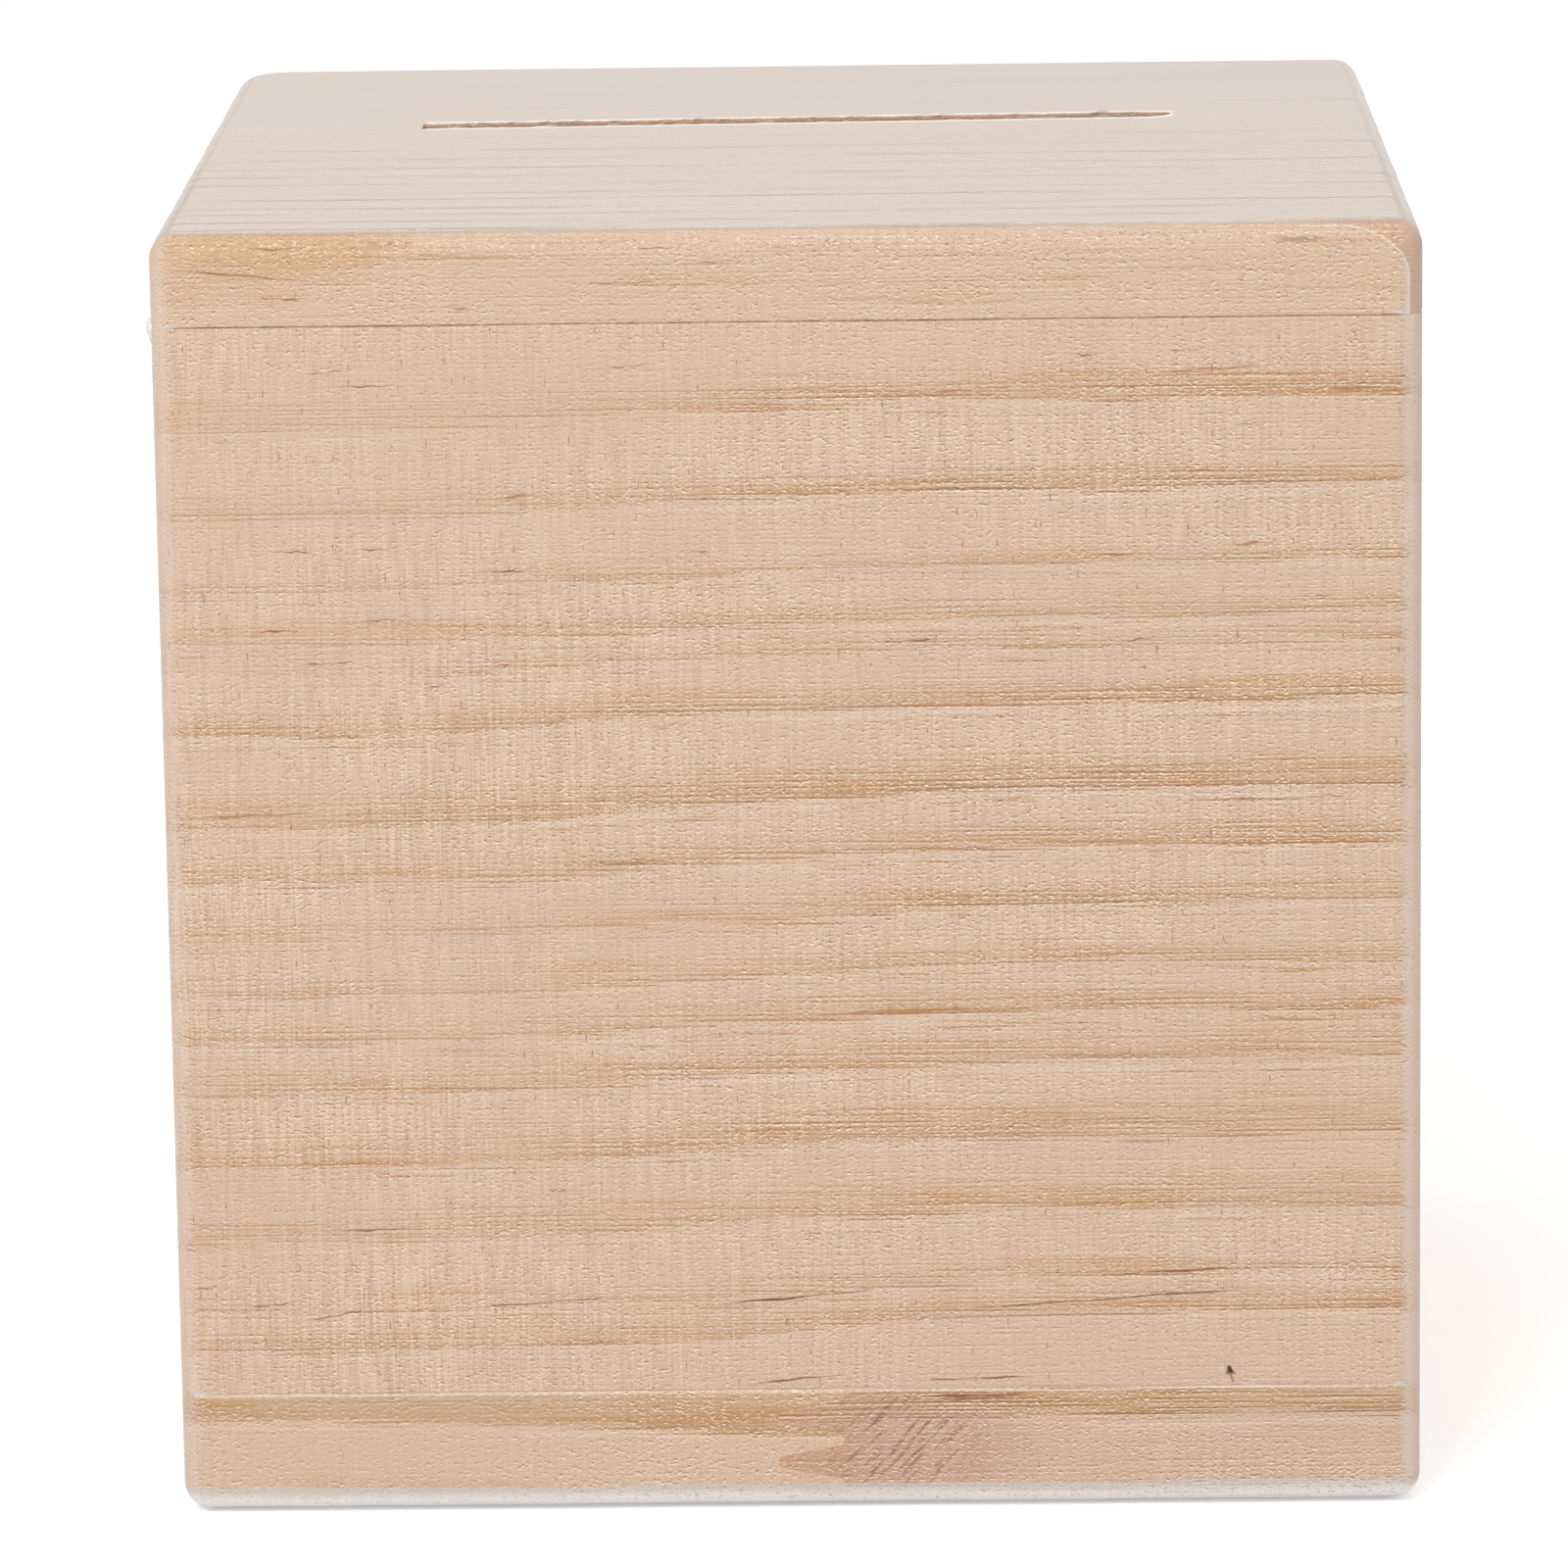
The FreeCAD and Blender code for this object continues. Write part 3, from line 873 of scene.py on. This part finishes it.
def raise_fibres(wood):
    ring, cloud = wood.ring, wood.cloud
    right = wood.along.between(-40, 30, *wood.to_right)
    run = (ring * (0.7 * wood.threads) + 0.28 * wood.threads) * (right * right)
    rougher = right * (ring * 0.4 + 1) * cloud.between(-0.4, 0.4, 1.05 * wood.fine, 2.0 * wood.fine)
    strokes = wood.scratch * wood.along.between(-40, 0, *wood.cross) * cloud.between(-0.35, 0.35, 0.5, 1.3)
    flecks = slope(wood.fleck, wood.fleck_below, 0.06) * rougher
    fibre = flecks + slope(wood.lines, wood.lines_below, 0.0) * run + strokes
    fibre = fibre * wood.quiet * wood.smooth
    # painted highlight on the lit side of each raised fibre, painted shade on the other
    wood.stain(fibre.math("MULTIPLY", 1.5, clamp=True), colour(255, 238, 216))
    wood.stain(fibre.math("MULTIPLY", -1.35, clamp=True), colour(150, 106, 74))
    ticks = wood.tick.between(0.38, 0.6, 0, 2.0 * wood.cross[0])
    wood.stain(ticks * wood.quiet * wood.smooth, colour(142, 104, 78))
    wood.tint = wood.scale(wood.tint, cloud * 0.04 + 1)


def pine(name, grain, seed, tones, **facts):
    """Raw sanded pine; grain names the axes along, across and through the board."""
    wood = new_recipe(name)
    vars(wood).update(USUAL, grain=grain, seed=seed, quiet=1.0, **facts)
    find_grain(wood)
    spread_noise(wood)
    grow_rings(wood)
    stain_rings(wood, *tones)
    for patch in wood.patches:
        patch(wood)
    open_ducts(wood)
    wear_edges(wood)
    if wood.veil:
        paint_top_sheen(wood, *wood.veil)
    for patch in wood.late:
        patch(wood)
    raise_fibres(wood)
    relief = (wood.fleck + wood.lines * 0.8) * wood.quiet
    return wood.finish(
        Base_Color=wood.tint, Roughness=wood.fleck * 0.06 + 0.62, Normal=wood.bump(0.5, 0.05, relief),
        Specular_IOR_Level=0.4, Sheen_Weight=0.3, Sheen_Roughness=0.5)


print("the wood recipe takes", len(USUAL), "facts")

# %% [markdown]
# ## Spots of their own
# A few places are like no other: slot edges with torn fibres and a painted highlight, slot walls in
# painted shade, a honey-coloured corner and a brown one partly in painted shade, red slanting grain
# beside the finger joint, long scratches. Each is a patch that stains the wood in one spot.

# %% Patch the top board
def oval(wood, middle, size, wobble):
    """1 in the middle of an oval spot and 0 outside it, in mm along, across and through the board."""
    apart = wood.vector("MULTIPLY", wood.vector("SUBTRACT", wood.place, middle), [1 / s for s in size])
    return (wood.vector("LENGTH", apart) + wood.fleck * wobble).between(0.35, 1.0, 1.0, 0.0)


def slot_edges(wood):
    """Painted shade, browner, on the slot's walls; torn pale fibres and a painted highlight on its edges."""
    # painted shade on the slot's walls, in a browner tone
    wood.stain(wood.painted("cut") * 0.75, colour(196, 158, 132))
    # pale torn fibres and a painted highlight along the slot's edges
    wood.stain(wood.painted("burr") * wood.fleck.between(-0.6, 0.1, 0.5, 1.0), colour(255, 250, 240))


def honey_corner(wood):
    """The yellower end of the top board's front edge."""
    wood.stain(oval(wood, (-46, -57, 119), (17, 8, 4.4), 0.12) * 0.7, colour(208, 164, 112))


def brown_shaded_corner(wood):
    """Right front corner: browner end grain, with painted shade on the round facing away from the light."""
    apart = wood.vector("MULTIPLY", wood.vector("SUBTRACT", wood.place, (50, 0, 115)), (1 / 6.2, 0, 1 / 4.6))
    reach = wood.vector("LENGTH", wood.vector("MAXIMUM", apart, (0, 0, 0))) + wood.fleck * 0.015
    near = wood.along.between(44, 51) * wood.across.between(3.2 - HALF, 1.8 - HALF)
    wood.stain(abs(reach - 0.99).between(0.005, 0.03, 1, 0) * near * 0.5, colour(246, 230, 212))
    # browner end grain, darkened further as painted shade
    wood.stain(reach.between(0.99, 1.03) * near * 0.75, colour(202, 162, 134))


print("patches for the top: slot edges, honey corner, brown corner")

# %% [markdown]
# ## Spots on the base and the front
# Noise alone would put such marks anywhere. Each of these has a place in mm, taken from the
# photo, and is faded by the same noise as the wood, so that it seems to lie in it.

# %% Patch the base and the front
SCRATCHES = [
    (-6.0, 12, 43, 0.5), (-3.5, 13, 37, 0.35), (-19.0, 40, 72, 0.25), (-22.3, 46, 78, 0.25),
    (24.5, 30, 60, 0.2),
]


def red_heart(wood):
    """The purplish, slanting grain beside the finger joint: this length was cut close to a knot."""
    tips = oval(wood, (0.5, 6.4, -57.5), (8, 9, 30), 0.1)
    heart = oval(wood, (10, 6.5, -57.5), (15, 9, 30), 0.2)
    hatch = oval(wood, (9, 6, -57.5), (9.5, 10, 30), 0.25)
    tilt = {"Vector": wood.place, "Angle": math.radians(-46)}
    slanted = wood.noise(wood.get("VectorRotate", tilt, rotation_type="Z_AXIS"), (0.3, 2.4, 0.5), 3.0, 2, 0.6)
    wood.stain(tips * 0.75, colour(206, 156, 114))
    wood.stain(heart * 0.6, colour(190, 150, 128))
    wood.stain(hatch * slanted.between(0.08, 0.3, 0, 0.8), colour(142, 98, 80))
    wood.stain(hatch * slanted.between(-0.1, -0.45, 0, 0.5), colour(226, 196, 176))


def arris_highlight(wood):
    """Painted highlight: the base's upper arris shows as a lit pale line under the front board."""
    edge = wood.across.between(BASE - 0.45, BASE - 0.2) * wood.through.between(0.4 - HALF, 0.2 - HALF)
    # painted highlight along the base's upper arris
    wood.stain(edge * wood.fleck.between(-0.5, 0.3, 0.2, 0.75), colour(242, 226, 206))


def long_scratches(wood):
    """A few long pale marks that a coarse grit left across the grain of the front."""
    for at, low, high, strength in SCRATCHES:
        off = abs(wood.along - at + wood.across * 0.004)
        reach = wood.across.between(low, low + 5) * wood.across.between(high - 8, high, 1, 0)
        broken = wood.fleck.between(-0.4, 0.4, 0.4, strength + 0.4)
        wood.stain(off.between(0.03, 0.13, 1, 0) * reach * broken * strength, colour(240, 220, 200))


print("long scratches on the front:", len(SCRATCHES))

# %% [markdown]
# ## One recipe, eight woods
# The front's rings are soft bands that darken downwards and end sharply, rising a little to the right.
# Their heights are written down. The top has close lines near its front edge. The hidden boards
# grew elsewhere in the tree, so each has a pith of its own.

# %% Mix the wood for each board
FRONT_RINGS = [
    (102.8, 0.6, 3.4), (94.5, 0.65, 2.8), (87.5, 0.5, 1.8), (82.5, 0.5, 2.6), (79.8, 0.4, 1.8),
    (74.2, 0.7, 3.0), (65.6, 0.7, 4.2), (60.3, 0.6, 3.0), (55.0, 0.5, 2.8), (49.4, 0.5, 2.6),
    (44.8, 0.6, 3.0), (40.0, 0.6, 3.4), (33.0, 0.6, 4.4), (25.7, 0.55, 4.2), (19.0, 0.4, 2.4),
    (15.2, 0.6, 3.0),
]
TOP_LINES = [
    (-71, 0.4, 3), (-66.5, 0.35, 2.5), (-62, 0.5, 2), (-55.5, 1.2, 1.3), (-51, 1.4, 1.3), (-46.5, 1.2, 1.3),
    (-42.5, 1.0, 1.2), (-37, 1.4, 1.3), (-33, 0.9, 1.2), (-27, 1.2, 1.5), (-22, 0.8, 1.3), (-17, 1.1, 1.5),
    (-11, 0.9, 1.5), (-5, 0.8, 1.5), (3, 0.6, 1.5), (24, 0.2, 2), (41, 0.2, 2),
]
WALL_TONES = colour(219, 189, 165), colour(204, 168, 131), colour(188, 147, 104), colour(206, 154, 100)
TOP_TONES = colour(219, 189, 163), colour(204, 170, 138), colour(160, 140, 124), colour(208, 154, 102)
BASE_TONES = colour(219, 189, 164), colour(202, 166, 129), colour(190, 149, 106), colour(196, 148, 94)
RED_TONES = colour(214, 183, 161), colour(197, 159, 111), colour(182, 140, 86), colour(194, 146, 88)

base_pine = pine("base_pine", "xyz", 6.0, WALL_TONES, pith=(30, -60, 0.02), spacing=4.5)
woods = [
    (top_board, pine(
        "top_pine", "xyz", 2.0, TOP_TONES, rings=TOP_LINES, start=TOP, slant=2.0, ducts=0.1,
        # veil: tone and strength of the painted sheen on the top
        veil=(colour(214, 201, 191), 0.88), patches=[honey_corner], late=[brown_shaded_corner, slot_edges])),
    (front_board, pine(
        "front_pine", "xzy", 1.0, WALL_TONES, rings=FRONT_RINGS, rise=(3.6, -0.018), start=-HALF, ducts=0.0,
        to_right=(0.88, 1.0), bands=(0.7, 1.15), cross=(0.36, 0.26), late=[long_scratches])),
    (back_board, pine("back_pine", "xzy", 3.0, WALL_TONES, pith=(20, 120, 0.03), spacing=5.5)),
    (left_board, pine("left_pine", "yzx", 4.0, WALL_TONES, pith=(-60, -110, 0.04))),
    (right_board, pine("right_pine", "yzx", 5.0, WALL_TONES, pith=(150, 100, 0.05))),
    (strips[0], pine(
        "base_left_pine", "xzy", 7.0, BASE_TONES, rings=[(7.9, 0.8, 5.5), (1.0, 0.1, 3.0)], start=-HALF,
        ducts=0.0, fine=0.95, threads=0.35, late=[arris_highlight])),
    (strips[1], pine(
        "base_red_pine", "xzy", 8.0, RED_TONES, rings=[(8.0, 0.9, 5.0)], start=-HALF, ducts=0.0, fine=1.2,
        threads=1.3, patches=[red_heart], late=[arris_highlight])),
    (strips[2], base_pine),
    (strips[3], base_pine),
]
for board, wood in woods:
    board.data.materials.append(wood)
    print(board.name, "is", wood.name, "with", len(wood.node_tree.nodes), "nodes")

# %% [markdown]
# ## Dowels and steel
# The dowels are plain beech rod and hidden in the joints. The screws are zinc-plated steel: bright,
# faintly bluish, with fine scratches around the axis from the rolling dies.

# %% Finish the dowels and screws
BEECH_TONES = colour(214, 176, 138), colour(205, 164, 124), colour(190, 146, 106), colour(190, 140, 96)
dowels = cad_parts["corner_dowels"]
dowels.data.materials.clear()
dowels.data.materials.append(pine("beech", "yzx", 9.0, BEECH_TONES, pith=(40, 40, 0), spacing=1.2, ducts=0.0))
steel = new_recipe("zinc_steel")
fine = steel.noise(steel.spot(), (900, 900, 9000), 1, 2, 0.6)
dull = steel.noise(steel.spot(), (350, 350, 350), 2, 3, 0.6)
tint = steel.mix(dull.between(-0.5, 0.6), colour(176, 180, 184), colour(206, 205, 198))
zinc = steel.finish(
    Base_Color=tint, Metallic=1.0, Roughness=dull * 0.12 + 0.34, Normal=steel.bump(0.3, 0.02, fine))
for place in SCREWS:
    piece = bpy.data.objects["screw_" + place]
    piece.data.materials.clear()
    piece.data.materials.append(zinc)
print("finished:", dowels.name, "and", len(SCREWS), "screws")

# %% [markdown]
# ## Resin streaks
# Pine has fine tubes of resin along its fibres. Where the saw cut one open it shows as a short dark or
# orange dash. These are thin slivers laid on the front: a line of points along the middle and two
# along the rims, so that the colour can fade out.

# %% Lay the resin streaks on the front
DARK_STREAKS = [
    (-43.6, 107.3, 3.7, 0.14), (-40.9, 106.0, 5.5, 0.12), (-16.4, 107.5, 4.0, 0.22),
    (-47.1, 91.0, 4.0, -0.23), (-28.3, 88.8, 5.4, 0.3), (-39.2, 84.4, 3.6, 0.14), (-49.1, 83.5, 4.5, 0.04),
    (-44.4, 80.5, 4.8, 0.13), (-27.0, 80.2, 2.2, 0.16), (-56.4, 21.6, 3.2, 0.24), (-50.8, 19.9, 4.1, 0.34),
    (-45.4, 18.7, 5.2, 0.7), (-30.4, 19.7, 13.2, 0.81), (28.0, 22.3, 16.0, 0.5), (-5.3, 12.0, 9.5, 0.9),
    (11.7, 12.3, 10.0, 0.28), (26.8, 89.8, 6.9, 0.28), (34.4, 108.5, 3.3, 0.05), (25.7, 108.2, 2.6, 0.06),
    (40.5, 101.6, 2.7, 0.15), (46.6, 85.8, 3.1, 0.15), (2.1, 90.0, 2.4, 0.15), (29.7, 81.8, 3.7, 0.23),
    (-33.6, 78.2, 2.9, 0.15), (-39.5, 91.0, 3.6, 0.14), (8.4, 82.0, 5.3, 0.21), (-22.9, 30.7, 1.8, 0.08),
    (-42.4, 27.1, 6.8, 0.21), (52.9, 15.6, 2.1, 0.07),
]
LONG_STREAKS = [(-7.7, 19.75, 15.2, 1.3), (15.4, 19.25, 25.5, 1.35)]
ORANGE_STREAKS = [
    (-27.1, 95.6, 5.4, 0.3), (12.8, 105.0, 7.8, 0.36), (45.8, 104.8, 9.0, 0.25), (34.3, 97.4, 5.8, 0.3),
    (-9.1, 90.6, 2.0, -0.11), (39.3, 90.5, 5.2, 0.39), (-19.6, 61.4, 9.9, 0.45), (1.2, 47.2, 21.1, 0.52),
    (-54.5, 66.3, 11.7, 0.33), (33.4, 106.5, 10.6, 0.6),
]
EDGE_STREAKS = [
    (-56.0, 116.9, 13.5, -1.25), (-31.2, 113.25, 3.5, -0.3), (-18.1, 115.2, 6.5, 0.1),
    (-25.9, 118.8, 2.8, 0.0), (-49.0, 118.6, 6.0, 0.1), (-14.0, 118.3, 5.0, 0.1), (-47.5, 114.2, 4.0, -0.2),
    (-8.5, 117.0, 4.5, 0.2),
]
BASE_STREAKS = [(11.0, 10.75, 10.5, 0.15), (13.5, 10.5, 6.0, 0.1)]
STREAK_STEPS = 20
RIM_OUT, CORE_OUT = 0.012, 0.016


def streaks(name, places, thickness, tone, strength, body="case"):
    """Thin lens-shaped slivers on the front face; places are (left end x, height, length, rise)."""
    chance = np.random.default_rng(len(places))
    points, faces, core = [], [], []
    for left, height, length, rise in places:
        first = len(points)
        wobble, lean = chance.uniform(-1, 1, 2)
        width = thickness * chance.uniform(0.7, 1.25) * min(1.5, 0.75 + length / 16)
        for step in range(STREAK_STEPS + 1):
            t = step / STREAK_STEPS
            sway = 0.1 * wobble * math.sin(5 * t + 2 * lean)
            z = height + t * rise + sway + 0.05 * math.sin(17 * t + 5 * wobble)
            taper = math.sin(math.pi * min(max(t, 0.02), 0.98)) ** 0.5
            half = width * taper * (0.8 + 0.35 * math.sin(9 * t + 4 * lean))
            for side, out in ((-1, RIM_OUT), (0, CORE_OUT), (1, RIM_OUT)):
                up = z + side * half
                bent = max(0, up - (TOP - EDGE))
                points.append((left + t * length, -HALF - out + EDGE - math.sqrt(EDGE ** 2 - bent ** 2), up))
            core += [0.0, math.sin(math.pi * t) ** 0.2 * (0.85 + 0.15 * math.sin(11 * t + 3 * wobble)), 0.0]
        for step in range(STREAK_STEPS):
            low = first + 3 * step
            faces += [(low, low + 3, low + 4, low + 1), (low + 1, low + 4, low + 5, low + 2)]
    piece = new_piece(name, points, faces)
    paint_points(piece, "core", core)
    resin = new_recipe(name)
    grain = resin.noise(resin.spot(), (900, 3200, 3200), 4.0, 1, 0.6)
    cover = (resin.painted("core") + grain * 0.35).between(0.1, 0.85) * strength
    piece.data.materials.append(resin.finish(Base_Color=tone, Roughness=0.6, Alpha=cover))
    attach(piece, body)
    print(name + ":", len(places))


streaks("dark_streaks", DARK_STREAKS, 0.11, colour(162, 100, 66), 0.8)
streaks("long_streaks", LONG_STREAKS, 0.1, colour(124, 78, 52), 0.85)
streaks("orange_streaks", ORANGE_STREAKS, 0.2, colour(204, 148, 92), 0.6)
streaks("edge_streaks", EDGE_STREAKS, 0.12, colour(180, 122, 78), 0.65)
streaks("base_streaks", BASE_STREAKS, 0.18, colour(158, 96, 80), 0.7, "base")

# %% [markdown]
# ## A drop of glue
# White glue was squeezed out of the seam at the left corner and dried there. A squashed, lumpy sphere
# is enough for something this small. Light goes a little way into it: subsurface scattering.

# %% Add the glue drop
bpy.ops.mesh.primitive_uv_sphere_add(segments=32, ring_count=20, radius=1)
glue = bpy.context.object
glue.name = "glue_drop"
for vertex in glue.data.vertices:
    x, y, z = vertex.co
    lump = 1 + 0.18 * math.sin(3.1 * z + 1.3 * y) + 0.12 * math.sin(5.3 * y + 2.2 * z)
    vertex.co = (x * 0.55 * lump, y * 0.9 * lump, z * (1.15 + 0.25 * y) * lump)
glue.data.transform(Matrix.Scale(MM, 4))
glue.data.transform(Matrix.Translation(Vector((-HALF + 0.15, -HALF + 2.6, SEAM - 0.6)) * MM))
for polygon in glue.data.polygons:
    polygon.use_smooth = True
dried = new_recipe("dried_glue")
cloudy = dried.noise(dried.spot(), (1500, 1500, 1500), 2, 2, 0.5).between(-0.4, 0.4)
tint = dried.mix(cloudy, colour(232, 226, 214), colour(244, 241, 234))
glue.data.materials.append(dried.finish(
    Base_Color=tint, Roughness=0.32, Subsurface_Weight=0.4, Subsurface_Scale=0.8 * MM))
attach(glue, "case")
print("glue drop:", round(glue.dimensions.z / MM, 1), "mm high")

# %% [markdown]
# ## Torn fibres
# Along the slot a few fibres were torn but not cut off, and stand up like tiny hairs: thin three-sided
# tubes that bend over the slot, at random places that are the same every time.

# %% Tear some fibres at the slot
FIBRES = 90
chance = np.random.default_rng(5)
points, faces = [], []
for _ in range(FIBRES):
    rear = chance.random() < 0.5
    x = chance.uniform(SLOT_LEFT + 1, SLOT_RIGHT - 3)
    y = SLOT_MIDDLE + (1 if rear else -1) * (SLOT_HALF + 0.05) + SLOT_SLOPE * (x - SLOT_TURN_X)
    length = chance.uniform(0.5, 2.2)
    lean = (-1 if rear else 1) * chance.uniform(0.0, 0.35)
    up = chance.uniform(0.02, 0.22)
    thick = chance.uniform(0.03, 0.06)
    first = len(points)
    for step in range(6):
        t = step / 5
        mid = np.array((x + length * t, y + lean * t * t, TOP - 0.05 + up * math.sin(2.4 * t)))
        for angle in (0, 2.1, 4.2):
            points.append(mid + thick * (1 - 0.8 * t) * np.array((0, math.cos(angle), math.sin(angle))))
    for step in range(5):
        for corner in range(3):
            a, b = first + 3 * step + corner, first + 3 * step + (corner + 1) % 3
            faces.append((a, b, b + 3, a + 3))
fibres = new_piece("slot_fibres", points, faces)
torn = new_recipe("torn_fibre")
tone = torn.noise(torn.spot(), (400, 900, 900), 3, 1, 0.5).between(-0.3, 0.3)
tint = torn.mix(tone, colour(236, 220, 200), colour(248, 240, 228))
fibres.data.materials.append(torn.finish(Base_Color=tint, Roughness=0.7))
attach(fibres, "case")
print("slot fibres:", FIBRES)

# %% [markdown]
# ## Room and light
# The box stands on a white table in a white room. Big soft lamps keep the wood close to the colour in
# its recipe, and the floor keeps a faint shadow. Light Path makes white what the camera sees, so that
# no extra light falls on the wood.

# %% Set up the white room
def seen(recipe):
    """1 for what the camera sees, also in metal or glass, and 0 for light on its way to the box."""
    path = recipe.get_all("LightPath")
    return path["Is Camera Ray"].most(path["Is Glossy Ray"]).most(path["Is Transmission Ray"])


def soft_lamp(name, place, size, power):
    lamp = bpy.data.lights.new(name, "AREA")
    lamp.shape = "RECTANGLE"
    lamp.size, lamp.size_y = size
    lamp.energy = power
    piece = bpy.data.objects.new(name, lamp)
    piece.location = place
    piece.rotation_euler = (Vector((0, 0, 0.06)) - Vector(place)).to_track_quat("-Z", "Y").to_euler()
    bpy.context.scene.collection.objects.link(piece)
    print(name, "lamp:", power, "W")


bpy.ops.mesh.primitive_plane_add(size=8, location=(0, 0, -0.0002))
floor = bpy.context.object
floor.name = "floor"
white = new_recipe("white_floor")
floor.data.materials.append(white.finish(
    Base_Color=colour(242, 242, 242), Roughness=0.9, Specular_IOR_Level=0.1,
    Emission_Color=(1, 1, 1, 1), Emission_Strength=seen(white) * 0.4))

world = bpy.data.worlds.new("white_room")
bpy.context.scene.world = world
air = Recipe(world)
background = air.tree.nodes["Background"].inputs
background["Color"].default_value = (1, 1, 1, 1)
air.wire(seen(air) * 0.45 + 0.55, background["Strength"])
soft_lamp("window", (-0.4, -0.8, 1.1), (0.6, 0.5), 8)
soft_lamp("ceiling", (0.2, 0.1, 1.3), (1.0, 1.0), 3)
bpy.context.scene.view_settings.view_transform = "Standard"

# %% [markdown]
# ## The camera
# The photographer stood a step back with a long lens, a little above the box and almost square to it.
# The numbers were worked out from the edges of the box in the photo.

# %% Place the camera
FOCAL_PIXELS, PICTURE = 8736.9, 1600.0
EYE = (0.011007, -0.820576, 0.234120)
yaw, pitch, roll = (math.radians(a) for a in (-0.87966, 12.21616, 0.78753))
lens = bpy.data.cameras.new("camera")
lens.sensor_width = 36
lens.lens = FOCAL_PIXELS / PICTURE * lens.sensor_width
camera = bpy.data.objects.new("camera", lens)
pose = Matrix.Translation(EYE)
for angle, axis in ((-yaw, "Z"), (math.pi / 2 - pitch, "X"), (-roll, "Z")):
    pose = pose @ Matrix.Rotation(angle, 4, axis)
camera.matrix_world = pose
bpy.context.scene.collection.objects.link(camera)
bpy.context.scene.camera = camera
print("camera:", round(lens.lens, 1), "mm lens")

# %% [markdown]
